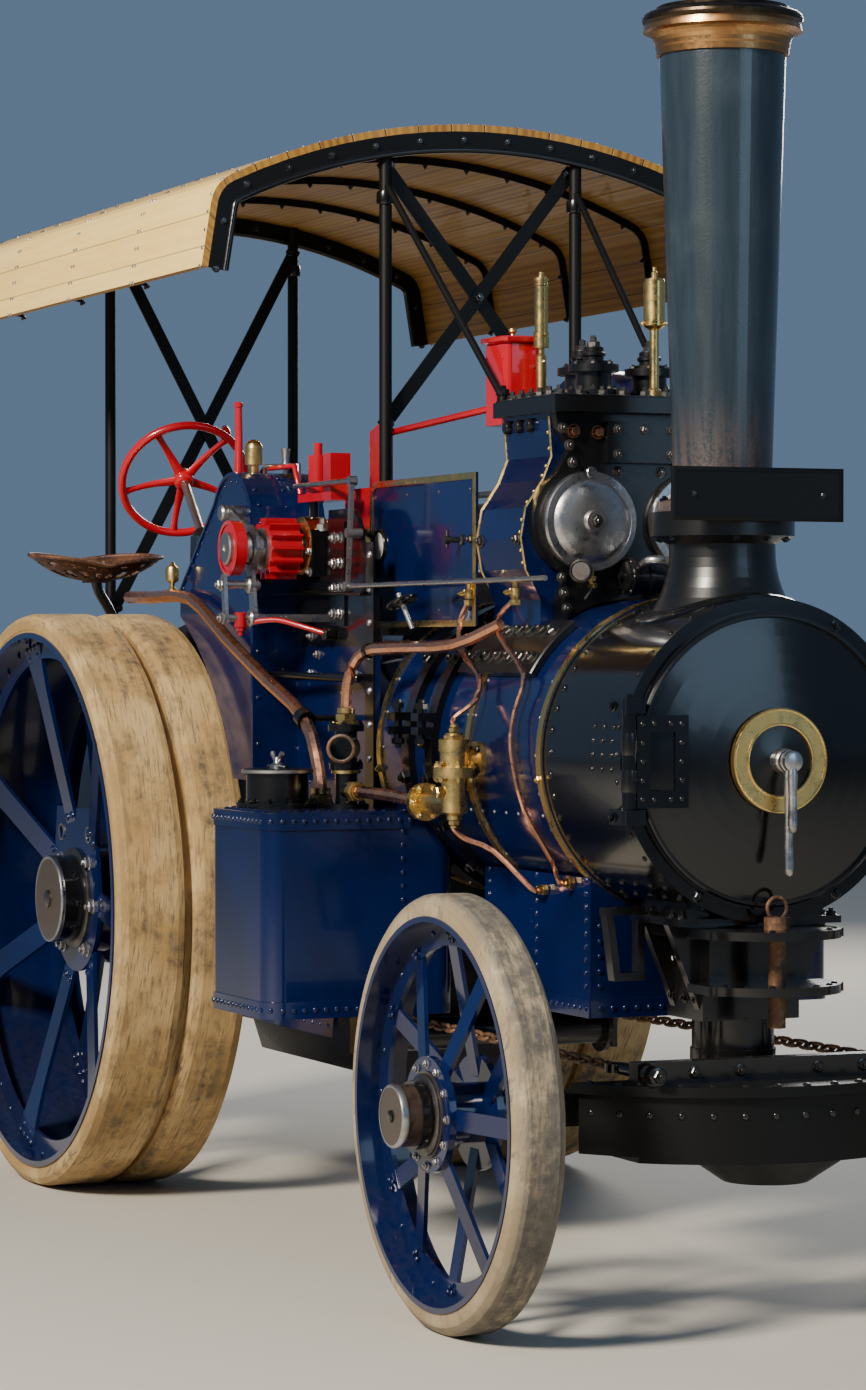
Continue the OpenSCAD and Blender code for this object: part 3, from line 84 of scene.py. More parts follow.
# Step from the centre of a circle that lies in two directions, at an angle in radians
def around(first, second, angle, radius=1.0):
    return (first * math.cos(angle) + second * math.sin(angle)) * radius


def ringPlaces(centre, axis, radius, count, start=0.0):
    side, other = across(axis)
    for i in range(count):
        yield centre + around(side, other, math.radians(start + 360 * i / count), radius)


# Point and outward direction on the boiler, at an angle from its top towards the right side
def onBoiler(x, angle, radius):
    out = around(up, -leftward, math.radians(angle))
    return at(x, 0, boilerZ) + out * radius, out


# Smooth route through a few points
def smoothRoute(points, steps=6):
    route = []
    for i in range(len(points) - 1):
        a, b = points[max(i - 1, 0)], points[i]
        c, d = points[i + 1], points[min(i + 2, len(points) - 1)]
        for j in range(steps):
            t = j / steps
            route.append(0.5 * (2 * b + (c - a) * t + (2 * a - 5 * b + 4 * c - d) * t * t
                                + (3 * b - a - 3 * c + d) * t ** 3))
    return route + [points[-1]]


# Even steps along a route of places with their outward directions
def walk(route, pitch):
    lengths = [0.0]
    for (a, _), (b, _) in zip(route, route[1:]):
        lengths.append(lengths[-1] + (b - a).length)
    count = round(lengths[-1] / pitch)
    for i in range(count + 1):
        goal = lengths[-1] * i / count
        k = max(1, next((j for j, run in enumerate(lengths) if run >= goal - 1e-9), len(lengths) - 1))
        t = (goal - lengths[k - 1]) / max(1e-9, lengths[k] - lengths[k - 1])
        yield route[k - 1][0].lerp(route[k][0], t), route[k - 1][1].lerp(route[k][1], t).normalized()


# Gathers shapes into one mesh, each face with the number of its material
class Maker:
    def __init__(self):
        self.points, self.faces, self.tones = [], [], []

    def add(self, points, faces, tone=0):
        start = len(self.points)
        self.points += [tuple(p) for p in points]
        self.faces += [tuple(start + i for i in f) for f in faces]
        self.tones += [tone] * len(faces)

    # rings of points joined into a skin, with caps unless it is open or a loop
    def skin(self, rings, tone=0, closed=True, loop=False):
        n = len(rings[0])
        faces = []
        for i in range(len(rings) - (0 if loop else 1)):
            k = (i + 1) % len(rings)
            faces += [(i * n + j, i * n + (j + 1) % n, k * n + (j + 1) % n, k * n + j) for j in range(n)]
        if closed and not loop:
            faces.append(tuple(range(n - 1, -1, -1)))
            faces.append(tuple((len(rings) - 1) * n + j for j in range(n)))
        self.add([p for ring in rings for p in ring], faces, tone)

    # profile of (radius, height) turned about an axis through base
    def turn(self, profile, base, axis=up, steps=24, tone=0, spin=0.0, closed=True):
        axis = axis.normalized()
        side, other = across(axis)
        angles = [fullTurn * j / steps + spin for j in range(steps)]
        self.skin([[base + axis * height + around(side, other, a, max(radius, 1e-5)) for a in angles]
                   for radius, height in profile], tone, closed)

    # the same without caps, for rings, lips and collars
    def collar(self, profile, base, axis=up, steps=24, tone=0):
        self.turn(profile, base, axis, steps, tone, closed=False)

    def rod(self, a, b, radius, steps=14, tone=0, edge=0.0):
        length = (b - a).length
        profile = [(radius, 0), (radius, length)]
        if edge:
            profile = [(radius - edge, 0), (radius, edge), (radius, length - edge), (radius - edge, length)]
        self.turn(profile, a, b - a, steps, tone)

    # round bar along a route; its radius may change with the share of the way
    def hose(self, route, radius, steps=10, tone=0, loop=False):
        rings = []
        guide = None
        last = len(route) - 1
        for i, p in enumerate(route):
            if loop:
                heading = (route[(i + 1) % len(route)] - route[i - 1]).normalized()
            else:
                heading = (route[min(i + 1, last)] - route[max(i - 1, 0)]).normalized()
            guide = across(heading)[0] if guide is None else (guide - heading * guide.dot(heading)).normalized()
            other = heading.cross(guide)
            r = radius(i / last) if callable(radius) else radius
            rings.append([p + around(guide, other, fullTurn * j / steps, r) for j in range(steps)])
        self.skin(rings, tone, True, loop)

    # upright block between two corners, with its top and bottom edges taken off
    def box(self, low, high, tone=0, edge=0.0):
        levels = ((edge, low.z), (0, low.z + edge), (0, high.z - edge), (edge, high.z))
        self.skin([[Vector((x, y, z)) for x, y in ((low.x + e, low.y + e), (high.x - e, low.y + e),
                                                   (high.x - e, high.y - e), (low.x + e, high.y - e))]
                   for e, z in (levels if edge else levels[::3])], tone)

    # flat rim with a bevel along a closed outline
    def border(self, outline, base, right, upward, width, depth, tone=0):
        out = right.cross(upward)
        outline = [Vector(p) for p in outline]
        rings = []
        for i, p in enumerate(outline):
            a, b = (p - outline[i - 1]).normalized(), (outline[(i + 1) % len(outline)] - p).normalized()
            bend = Vector((-a.y - b.y, a.x + b.x)).normalized()
            inward = bend * width / max(0.4, bend.dot(Vector((-a.y, a.x))))
            rings.append([base + right * q.x + upward * q.y + out * depth * height for q, height in
                          ((p, 0), (p, 0.6), (p + inward * 0.12, 1), (p + inward, 1), (p + inward, 0))])
        self.skin(rings, tone, loop=True)

    # round rivet head standing on a surface
    def rivet(self, place, axis, radius, tone=0, steps=8):
        self.collar([(radius * r, radius * h) for r, h in rivetShape], place, axis, steps, tone)

    def rivetRow(self, a, b, pitch, axis, radius, tone=0):
        count = max(1, round((b - a).length / pitch))
        for i in range(count + 1):
            self.rivet(a.lerp(b, i / count), axis, radius, tone)

    # rivets round the boiler, between two angles
    def hoop(self, x, radius, pitch, size, start=0.0, end=360.0):
        count = max(1, round(math.radians(end - start) * radius / pitch))
        for i in range(count + (0 if end - start >= 360 else 1)):
            place, out = onBoiler(x, start + (end - start) * i / count, radius)
            self.rivet(place, out, size)

    # hexagon nut with a washer and the end of its stud
    def nut(self, place, axis, size, tone=0, stud=0.5, washer=True):
        spin = dice.random()
        parts = [(nutShape, 6, spin)]
        if washer:
            parts.insert(0, (washerShape, 12, 0.0))
        if stud:
            parts.append((((0.5, 0.8), (0.5, 0.85 + stud), (0.4, 0.95 + stud), (0, 0.95 + stud)), 8, 0.0))
        for shape, steps, angle in parts:
            self.turn([(size * r, size * h) for r, h in shape], place, axis, steps, tone, angle)

    def nuts(self, places, axis, size, tone=0, stud=0.5):
        for place in places:
            self.nut(place, axis, size, tone, stud)

    # hexagon coupling nut with the end of its cone
    def union(self, place, axis, radius, length):
        self.collar([(radius * 0.6, 0), (radius, 0.002), (radius, length - 0.002), (radius * 0.6, length)],
                    place, axis, 6)
        self.collar([(radius * 0.62, 0), (radius * 0.8, 0.001), (radius * 0.8, length / 2),
                     (radius * 0.62, length / 2)], place + axis * length, axis, 20)

    def make(self, name, body, *finishes, slot=None, smooth=38, stands=()):
        mesh = bpy.data.meshes.new(name)
        mesh.from_pydata(self.points, [], self.faces)
        for finish in finishes:
            mesh.materials.append(finish)
        mesh.polygons.foreach_set("material_index", self.tones)
        mesh.polygons.foreach_set("use_smooth", [True] * len(self.faces))
        mesh.validate()
        mesh.update()
        mesh.set_sharp_from_angle(angle=math.radians(smooth))
        piece = bpy.data.objects.new(name, mesh)
        bpy.context.scene.collection.objects.link(piece)
        if body:
            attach(piece, body)
        if stands:
            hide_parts(*stands)
        return piece


# Profiles of (radius, height) for a size of one
rivetShape = ((1, -0.2), (1, 0.0744), (0.82, 0.3844), (0.42, 0.5828), (0, 0.62))
washerShape = ((1.3, -0.2), (1.3, 0.12), (1.2, 0.18), (0, 0.18))
nutShape = ((1, 0), (1, 0.75), (0.86, 0.9), (0, 0.9))


# One output of a shader node, with the usual signs for maths
class Value:
    def __init__(self, finish, socket):
        self.finish = finish
        self.socket = socket

    def calc(self, operation, first, second=0.0):
        return self.finish.node("ShaderNodeMath", {"operation": operation}, {0: first, 1: second})

    def __add__(self, other):
        return self.calc("ADD", self, other)

    def __sub__(self, other):
        return self.calc("SUBTRACT", self, other)

    def __rsub__(self, other):
        return self.calc("SUBTRACT", other, self)

    def __mul__(self, other):
        return self.calc("MULTIPLY", self, other)

    def __pow__(self, other):
        return self.calc("POWER", self, other)

    def __gt__(self, other):
        return self.calc("GREATER_THAN", self, other)

    def __lt__(self, other):
        return self.calc("LESS_THAN", self, other)

    def __abs__(self):
        return self.calc("ABSOLUTE", self)

    __radd__ = __add__
    __rmul__ = __mul__

    def most(self, other):
        return self.calc("MAXIMUM", self, other)

    def fade(self, low, high):
        return self.finish.node("ShaderNodeMapRange", {"interpolation_type": "SMOOTHSTEP"},
                                {0: self, 1: low, 2: high, 3: 0.0, 4: 1.0})


# A material and the few node recipes that every finish here uses
class Finish:
    def __init__(self, name):
        self.material = bpy.data.materials.new(name)
        self.material.use_nodes = True
        self.tree = self.material.node_tree
        self.shader = self.tree.nodes["Principled BSDF"]
        self.spot = self.node("ShaderNodeTexCoord", {}, {}, "Object")
        self.x, self.y, self.z = [self.part(self.spot, i) for i in range(3)]

    def node(self, kind, settings, values, out=0):
        made = self.tree.nodes.new(kind)
        for key, value in settings.items():
            setattr(made, key, value)
        for key, value in values.items():
            self.plug(made, key, value)
        return Value(self, made.outputs[out])

    def plug(self, made, key, value):
        if isinstance(value, Value):
            self.tree.links.new(value.socket, made.inputs[key])
        else:
            made.inputs[key].default_value = value

    def part(self, vector, index):
        return self.node("ShaderNodeSeparateXYZ", {}, {0: vector}, index)

    def join(self, x, y, z):
        return self.node("ShaderNodeCombineXYZ", {}, {0: x, 1: y, 2: z})

    def stretched(self, x, y, z):
        return self.node("ShaderNodeMapping", {}, {"Vector": self.spot, "Scale": (x, y, z)})

    def noise(self, scale, detail=3.0, spot=None, rough=0.55):
        return self.node("ShaderNodeTexNoise", {}, {"Vector": spot or self.spot, "Scale": scale,
                                                    "Detail": detail, "Roughness": rough})

    def facing(self, index):
        return self.part(self.node("ShaderNodeTexCoord", {}, {}, "Normal"), index)

    # distance from a wheel's axis
    def radius(self, centre):
        x, z = self.x - centre.x, self.z - centre.z
        return (x * x + z * z) ** 0.5

    def tint(self, share, first, second):
        return self.node("ShaderNodeMix", {"data_type": "RGBA", "blend_type": "MIX"},
                         {0: share, 6: first, 7: second}, 2)

    def give(self, **values):
        for key, value in values.items():
            self.plug(self.shader, inputNames[key], value)

    # what an input of the shader was given before
    def given(self, key):
        return Value(self, self.shader.inputs[inputNames[key]].links[0].from_socket)

    def bump(self, height, strength, distance):
        self.give(normal=self.node("ShaderNodeBump", {}, {"Height": height, "Strength": strength,
                                                          "Distance": distance}))


inputNames = {"color": "Base Color", "rough": "Roughness", "metallic": "Metallic", "ior": "IOR",
              "coat": "Coat Weight", "coatRough": "Coat Roughness", "normal": "Normal"}


def rgb(r, g, b):
    return (r, g, b, 1.0)


# Gloss enamel over sheet iron: a film of dust on what faces up, and road dust low down
def enamel(name, look):
    f = Finish(name)
    patch = f.noise(2.3, 5)
    fine = f.noise(38, 4)
    grit = f.noise(310, 2)
    body = f.tint(patch.fade(0.35, 0.68), look["base"], look["deep"])
    lowDown = 1 - f.z.fade(look["dustLow"], look["dustHigh"])
    film = f.facing(2).fade(0.35, 1.0) * look["topDust"] + lowDown * look["lowDust"]
    film = film * (fine * 0.7 + patch * 0.6).fade(0.38, 0.86) + grit.fade(0.66, 0.8) * 0.05
    f.give(color=f.tint(film, body, look["dust"]), metallic=0.0, ior=look["ior"], coat=look["coat"],
           rough=film * 0.5 + patch.fade(0.4, 0.7) * 0.08 + look["rough"], coatRough=look["coatRough"])
    f.bump(fine * 0.25 + patch, look["ripple"], 0.004)
    return f


# what the enamels share unless their own rows say otherwise
paintBase = {"dust": rgb(0.13, 0.09, 0.055), "lowDust": 0.0, "dustLow": 0.3, "dustHigh": 1.2, "rough": 0.2,
             "ior": 1.5}
paintLook = {
    "navy": {**paintBase, "base": rgb(0.0016, 0.008, 0.056), "deep": rgb(0.0008, 0.0045, 0.031),
             "dust": rgb(0.13, 0.11, 0.10), "rough": 0.12, "coat": 0.3, "coatRough": 0.03, "topDust": 0.05,
             "lowDust": 0.06, "dustLow": 0.15, "dustHigh": 0.9, "ripple": 0.12, "ior": 1.42},
    "black": {**paintBase, "base": rgb(0.003, 0.003, 0.0035), "deep": rgb(0.0015, 0.0015, 0.0015), "coat": 0.2,
              "coatRough": 0.06, "topDust": 0.09, "lowDust": 0.07, "ripple": 0.16},
    "bar": {**paintBase, "base": rgb(0.002, 0.002, 0.002), "deep": rgb(0.001, 0.001, 0.001),
            "dust": rgb(0.08, 0.06, 0.04), "rough": 0.45, "coat": 0.0, "coatRough": 0.1, "topDust": 0.05,
            "ripple": 0.16, "ior": 1.33},
    "soot": {**paintBase, "base": rgb(0.004, 0.004, 0.0045), "deep": rgb(0.002, 0.002, 0.002),
             "dust": rgb(0.12, 0.075, 0.045), "rough": 0.27, "coat": 0.1, "coatRough": 0.12, "topDust": 0.16,
             "ripple": 0.18},
    "gloss": {**paintBase, "base": rgb(0.003, 0.003, 0.004), "deep": rgb(0.0015, 0.0018, 0.003),
              "dust": rgb(0.11, 0.08, 0.05), "rough": 0.13, "coat": 0.15, "coatRough": 0.04, "topDust": 0.05,
              "ripple": 0.14},
    "red": {**paintBase, "base": rgb(0.46, 0.003, 0.012), "deep": rgb(0.30, 0.002, 0.008),
            "dust": rgb(0.30, 0.14, 0.12), "coat": 0.5, "coatRough": 0.05, "topDust": 0.04, "ripple": 0.15,
            "ior": 1.45},
    "white": {**paintBase, "base": rgb(0.72, 0.71, 0.66), "deep": rgb(0.62, 0.60, 0.54),
              "dust": rgb(0.45, 0.40, 0.33), "rough": 0.3, "coat": 0.5, "coatRough": 0.08, "topDust": 0.1,
              "ripple": 0.1},
}


# Metal that is handled or oiled: tarnish in patches and fine scratches
def metal(name, look):
    f = Finish(name)
    patch = f.noise(look["patch"], 5)
    scratch = f.noise(60, 3, f.stretched(1, 1, 1))
    tarnish = (patch * 0.8 + scratch * 0.4).fade(0.42, 0.8)
    f.give(color=f.tint(tarnish * look["tarnish"], look["base"], look["dull"]), metallic=1.0,
           rough=tarnish * look["wear"] + scratch * 0.08 + look["rough"])
    f.bump(scratch + patch * 0.6, look["dents"], 0.002)
    return f


metalBase = {"rough": 0.2, "wear": 0.2, "tarnish": 0.7, "patch": 10, "dents": 0.1}
metalLook = {
    "steel": {**metalBase, "base": rgb(0.52, 0.52, 0.53), "dull": rgb(0.20, 0.165, 0.14), "wear": 0.25,
              "patch": 9,
              "dents": 0.12},
    "dark": {**metalBase, "base": rgb(0.16, 0.155, 0.15), "dull": rgb(0.05, 0.04, 0.035), "rough": 0.26,
             "wear": 0.25, "tarnish": 0.8, "patch": 12, "dents": 0.2},
    "brass": {**metalBase, "base": rgb(0.83, 0.60, 0.22), "dull": rgb(0.40, 0.24, 0.08), "rough": 0.16,
              "tarnish": 0.55, "patch": 14},
    "copper": {**metalBase, "base": rgb(0.76, 0.37, 0.23), "dull": rgb(0.32, 0.13, 0.07), "rough": 0.18,
               "tarnish": 0.5},
    "bronze": {**metalBase, "base": rgb(0.50, 0.28, 0.115), "dull": rgb(0.24, 0.10, 0.035)},
    "umber": {**metalBase, "base": rgb(0.075, 0.052, 0.035), "dull": rgb(0.02, 0.014, 0.01), "rough": 0.3},
}


# Grey rubber under tan dirt; the dirt lies thick at the shoulders and on the side walls
def tyreFinish(name, centre, look):
    f = Finish(name)
    radius = f.radius(centre)
    turn = f.z.calc("ARCTAN2", f.z - centre.z, f.x - centre.x)
    # places on the tread: along it in turns, across it in metres
    tread = f.join(turn * look["along"], f.y * look["across"], radius * 9)
    scuffSpot = f.join(turn * 7.0 + f.y * 38, f.y * 120 - turn * 12.0, radius * 9)
    streak = f.noise(1.0, 6, tread, 0.62)
    scuff = f.noise(1.0, 5, scuffSpot, 0.7)
    blotch = f.noise(4.5, 6, None, 0.65)
    mottle = f.noise(26, 5, None, 0.7)
    grit = f.noise(150, 3)
    dirt = (streak * 0.45 + blotch * 0.5 + mottle * 0.3).fade(look["clean"], look["clean"] + 0.22)
    shoulder = abs(abs(f.y) - look["middle"]).fade(look["half"] * 0.45, look["half"])
    side = 1 - radius.fade(look["edge"] - 0.03, look["edge"])
    dirt = dirt.most(shoulder * 0.75).most(side * 0.85)
    skin = f.tint(mottle.fade(0.3, 0.7), look["rubber"], look["grey"])
    skin = f.tint(dirt, skin, f.tint(blotch.fade(0.35, 0.7), look["base"], look["pale"]))
    skin = f.tint(scuff.fade(0.5, 0.66) * blotch.fade(0.35, 0.55) * 0.7, skin, look["rubber"])
    f.give(color=f.tint(grit.fade(0.6, 0.8) * 0.3, skin, look["pale"]), rough=0.75 + streak * 0.18)
    f.bump(scuff * 0.5 + grit * 0.4 + mottle * 0.4, 0.4, 0.004)
    return f


tyreLook = {
    "rear": {"base": rgb(0.37, 0.225, 0.075), "pale": rgb(0.52, 0.36, 0.165), "grey": rgb(0.20, 0.145, 0.08),
             "rubber": rgb(0.06, 0.05, 0.038), "along": 2.2, "across": 34, "edge": 0.985, "middle": 0.76,
             "half": 0.23, "clean": 0.46},
    "front": {"base": rgb(0.29, 0.21, 0.115), "pale": rgb(0.45, 0.36, 0.225), "grey": rgb(0.15, 0.13, 0.10),
              "rubber": rgb(0.08, 0.07, 0.06), "along": 3.0, "across": 40, "edge": 0.59, "middle": 0.849,
              "half": 0.075, "clean": 0.58},
}


# Boards along the engine: counted over the roof's arch and down its valance, or straight across a floor; on the
# roof, painted sunlight on the valance's outside
def boardFinish(name, look):
    f = Finish(name)
    if look["arch"]:
        # painted sunlight: a paler, yellower wood colour painted on the valance's outside, on faces that point
        # away from the middle
        turn = f.y.calc("ARCTAN2", f.y, f.z - look["middle"])
        drop = (look["eaves"] - f.z).most(0.0)
        run = (abs(turn) * look["arch"] + drop * 0.45) * (1 / look["board"])
        paintedSunShare = (f.facing(1) * f.y).fade(0.1, 0.6)
    else:
        run = f.y * (1 / look["board"])
        paintedSunShare = f.y * 0.0
    number = run.calc("FLOOR", run)
    seam = abs(run - number - 0.5).fade(0.5 - look["seam"], 0.5)
    jump = f.node("ShaderNodeTexWhiteNoise", {"noise_dimensions": "1D"}, {"W": number}, 0)
    grainSpot = f.join(run * 3 + jump * 30, f.x * 1.5, jump * 9)
    grain = f.noise(1.7, 7, grainSpot, 0.65)
    figure = f.node("ShaderNodeTexWave", {"wave_type": "BANDS", "bands_direction": "X"},
                    {"Vector": grainSpot, "Scale": 0.42, "Distortion": 6.0, "Detail": 3.0, "Detail Scale": 0.8})
    knot = f.node("ShaderNodeTexVoronoi", {}, {"Vector": f.stretched(2.1, 7, 7), "Scale": 1.0})
    wood = f.tint((grain * 0.7 + figure * 0.3).fade(0.3, 0.72), look["dark"], look["base"])
    wood = f.tint(jump * 0.35, wood, look["pale"])
    # painted sunlight: lit and shaded copies of a sunlit wood colour, mixed by grain and laid over the
    # valance's outside; its seams are painted less dark there
    paintedSunWood = f.tint((grain * 0.6 + jump * 0.4).fade(0.25, 0.75), look["paintedSunDark"], look["paintedSun"])
    wood = f.tint(paintedSunShare, wood, paintedSunWood)
    wood = f.tint((1 - knot.fade(0.03, 0.09)) * 0.6, wood, look["knot"])
    f.give(color=f.tint(seam * (0.85 - paintedSunShare * 0.35), wood, look["gap"]), rough=0.5 + grain * 0.2, coat=0.12)
    f.bump(grain * 0.5 - seam * 2.5, 0.5, 0.003)
    return f


woodLook = {
    "roof": {"base": rgb(0.34, 0.17, 0.018), "pale": rgb(0.45, 0.25, 0.038), "dark": rgb(0.19, 0.08, 0.01),
             "knot": rgb(0.16, 0.07, 0.03), "gap": rgb(0.06, 0.03, 0.012), "board": 0.1145, "seam": 0.03,
             # paintedSun and paintedSunDark are painted sunlight colours, used only on the roof's valance
             "paintedSun": rgb(1.0, 0.73, 0.25), "paintedSunDark": rgb(0.90, 0.56, 0.14), "arch": 1.993, "middle": 1.53,
             "eaves": 3.25},
    "floor": {"base": rgb(0.20, 0.135, 0.08), "pale": rgb(0.27, 0.19, 0.12), "dark": rgb(0.10, 0.065, 0.04),
              "knot": rgb(0.05, 0.03, 0.02), "gap": rgb(0.02, 0.015, 0.01), "board": 0.22, "seam": 0.0,
              "paintedSun": rgb(0.2, 0.13, 0.08), "paintedSunDark": rgb(0.1, 0.07, 0.04), "arch": 0},
}


def rustFinish(name, look):
    f = Finish(name)
    patch = f.noise(9, 6)
    pits = f.noise(70, 4)
    skin = f.tint(patch.fade(0.38, 0.62), look["dark"], look["base"])
    f.give(color=f.tint(pits.fade(0.5, 0.7) * 0.6, skin, look["bright"]), metallic=0.35,
           rough=patch * 0.2 + 0.45)
    f.bump(pits + patch * 0.5, 0.5, 0.003)
    return f


rustLook = {
    "seat": {"base": rgb(0.13, 0.055, 0.028), "dark": rgb(0.055, 0.025, 0.016),
             "bright": rgb(0.27, 0.12, 0.055)},
    "chain": {"base": rgb(0.16, 0.075, 0.035), "dark": rgb(0.06, 0.035, 0.022),
              "bright": rgb(0.34, 0.17, 0.07)},
}


# Heat-proof paint on the stack: blue-grey, chalky in streaks, with rust showing low down
def stackFinish(name, look):
    f = Finish(name)
    run = f.noise(7, 5, f.stretched(6, 6, 0.5))
    patch = f.noise(4, 5)
    fine = f.noise(120, 3)
    skin = f.tint(run.fade(0.32, 0.7), look["dark"], look["base"])
    skin = f.tint(patch.fade(0.5, 0.75) * 0.5, skin, look["pale"])
    foot = (1 - f.z.fade(*look["foot"])) * (fine * 0.5 + run * 0.6).fade(0.4, 0.62)
    f.give(color=f.tint((foot * 0.7).most(fine.fade(0.7, 0.8) * 0.35), skin, look["rust"]), coat=0.3,
           coatRough=0.12, rough=patch * 0.12 + foot * 0.25 + 0.22)
    f.bump(fine * 0.5 + run, 0.2, 0.004)
    return f


stackLook = {"base": rgb(0.020, 0.032, 0.043), "dark": rgb(0.014, 0.023, 0.032),
             "pale": rgb(0.040, 0.056, 0.068), "rust": rgb(0.11, 0.06, 0.04), "foot": (2.24, 2.62)}


# Wheels: navy, with a glossy black hub barrel whose end face is rubbed down to dull brown metal
def wheelFinish(name, centre, look):
    f = enamel(name, paintLook["navy"])
    radius = f.radius(centre)
    for band in look.values():
        inside = (radius < band["r"]) * (abs(f.y) > band["y"])
        share = inside * (f.noise(band["mottle"], 5).fade(0.3, 0.6) * band["blend"] + (1 - band["blend"]))
        f.give(color=f.tint(share, f.given("color"), band["color"]),
               rough=f.given("rough") * (1 - share) + share * band["rough"])
    f.give(metallic=(radius < look["face"]["r"]) * (abs(f.y) > look["face"]["y"]) * 0.25)
    return f


# radius within which and distance from the middle beyond which each band holds
hubBlack = {"color": rgb(0.005, 0.005, 0.006), "rough": 0.12, "mottle": 20, "blend": 0.0}
wheelLook = {
    "rear": {"barrel": {**hubBlack, "r": 0.1525, "y": 0.8195},
             "ring": {"r": 0.152, "y": 0.9165, "color": rgb(0.05, 0.032, 0.02), "rough": 0.40, "mottle": 20,
                      "blend": 0.0},
             "face": {"r": 0.146, "y": 0.9165, "color": rgb(0.06, 0.039, 0.024), "rough": 0.36, "mottle": 26,
                      "blend": 0.55}},
    "front": {"barrel": {**hubBlack, "r": 0.0845, "y": 0.94},
              "ring": {"r": 0.12, "y": 0.9305, "color": rgb(0.05, 0.032, 0.022), "rough": 0.34, "mottle": 30,
                       "blend": 0.5},
              "face": {"r": 0.083, "y": 1.0335, "color": rgb(0.04, 0.026, 0.017), "rough": 0.34, "mottle": 30,
                       "blend": 0.5}},
}


# Hornplates: black where the crank's bearings stand
def hornFinish(name, look):
    f = enamel(name, paintLook["navy"])
    share = f.x.fade(look["x"], look["x"] + 0.01) * f.z.fade(look["z"], look["z"] + 0.01)
    f.give(color=f.tint(share, f.given("color"), look["color"]))
    return f


hornLook = {"x": at(1.14, 0, 0).x, "z": 1.86, "color": rgb(0.004, 0.004, 0.005)}


# Metal that changes to a second one over a short width, ahead of a station or above a height
def splitMetal(name, first, second, place, limit, width):
    f = metal(name, metalLook[first])
    look = metalLook[second]
    tarnish = f.noise(16, 4).fade(0.35, 0.7) * look["tarnish"]
    share = getattr(f, place).fade(limit, limit + width)
    f.give(color=f.tint(share, f.given("color"), f.tint(tarnish, look["base"], look["dull"])))
    return f


paint = {key: enamel(key + "Enamel", look).material for key, look in paintLook.items()}
bare = {key: metal(key + "Metal", look).material for key, look in metalLook.items()}
wood = {key: boardFinish(key + "Boards", look).material for key, look in woodLook.items()}
rust = {key: rustFinish(key + "Rust", look).material for key, look in rustLook.items()}
axles = {"rear": rearAxle, "front": frontAxle}
tyre = {key: tyreFinish(key + "TyreRubber", axle, tyreLook[key]).material for key, axle in axles.items()}
stack = stackFinish("stackPaint", stackLook).material
wheel = {key: wheelFinish(key + "WheelPaint", axle, wheelLook[key]).material for key, axle in axles.items()}
horn = hornFinish("hornplatePaint", hornLook).material
handles = splitMetal("doorHandleMetal", "brass", "steel", "x", at(3.692, 0, 0).x, 0.002).material
capMetal = splitMetal("chimneyCapMetal", "bronze", "umber", "z", 3.596, 0.012).material
print("finishes made")

# Finish of every node of the part that stays as it is
nodeFinish = (
    (wheel["rear"], "rear_wheel_right rear_wheel_left"), (wheel["front"], "front_wheel_right front_wheel_left"),
    (tyre["rear"], "rear_tyre_right rear_tyre_left"), (tyre["front"], "front_tyre_right front_tyre_left"),
    (bare["dark"], "rear_axle axle_gear"), (bare["copper"], "copper_pipes"),
    (bare["brass"], "boiler_bands brass_fittings clack_valve"),
    (bare["steel"], "slide_bars cylinder_covers crankshaft gear_levers drain_rod"),
    (paint["black"], "front_axle steering_bar perch_bracket drawbar_jaw clamp_bands water_lifter firebox "
                     "steering_column chain_barrel rear_drawbar"),
    (paint["bar"], "axle_apron number_plate canopy_arches canopy_posts canopy_braces"),
    (paint["navy"],
     "boiler_barrel belly_tank side_tanks motion_covers cylinder_cladding flywheel gear_cover tender"),
    (paint["gloss"], "smokebox smokebox_door"), (paint["red"], "crank_pinion steering_wheel red_fittings"),
    (paint["soot"], "chimney_base fire_door cylinder_block safety_valves"), (horn, "hornplates"),
    (rust["chain"], "drawbar_pin steering_chains"), (rust["seat"], "seat"), (handles, "door_handle"),
    (stack, "chimney_stack"), (capMetal, "chimney_cap"), (wood["floor"], "footplate"),
    (wood["roof"], "canopy_roof"),
)
finishOf = {name: finish for finish, names in nodeFinish for name in names.split()}
for name, node in nodes.items():
    node.data.materials.clear()
    node.data.materials.append(finishOf[name])
print("nodes finished")


# Rear wheels: rivets of the spokes' feet, bolts of the driving plate and bright rings
rearTrim = {"spokes": 7, "first": 100, "size": 0.0125, "slope": 0.177, "faceY": 0.9275, "innerY": 0.6195,
            "plateY": 0.819, "capY": 0.918,
            "feet": ((0.884, -0.062), (0.884, -0.02), (0.884, 0.022), (0.884, 0.062), (0.852, -0.042),
                     (0.852, 0.042)),
            "bolts": ((-0.15, 0.13), (0.15, 0.13), (-0.19, -0.02), (0.19, -0.02), (-0.13, -0.17),
                      (0.13, -0.17))}


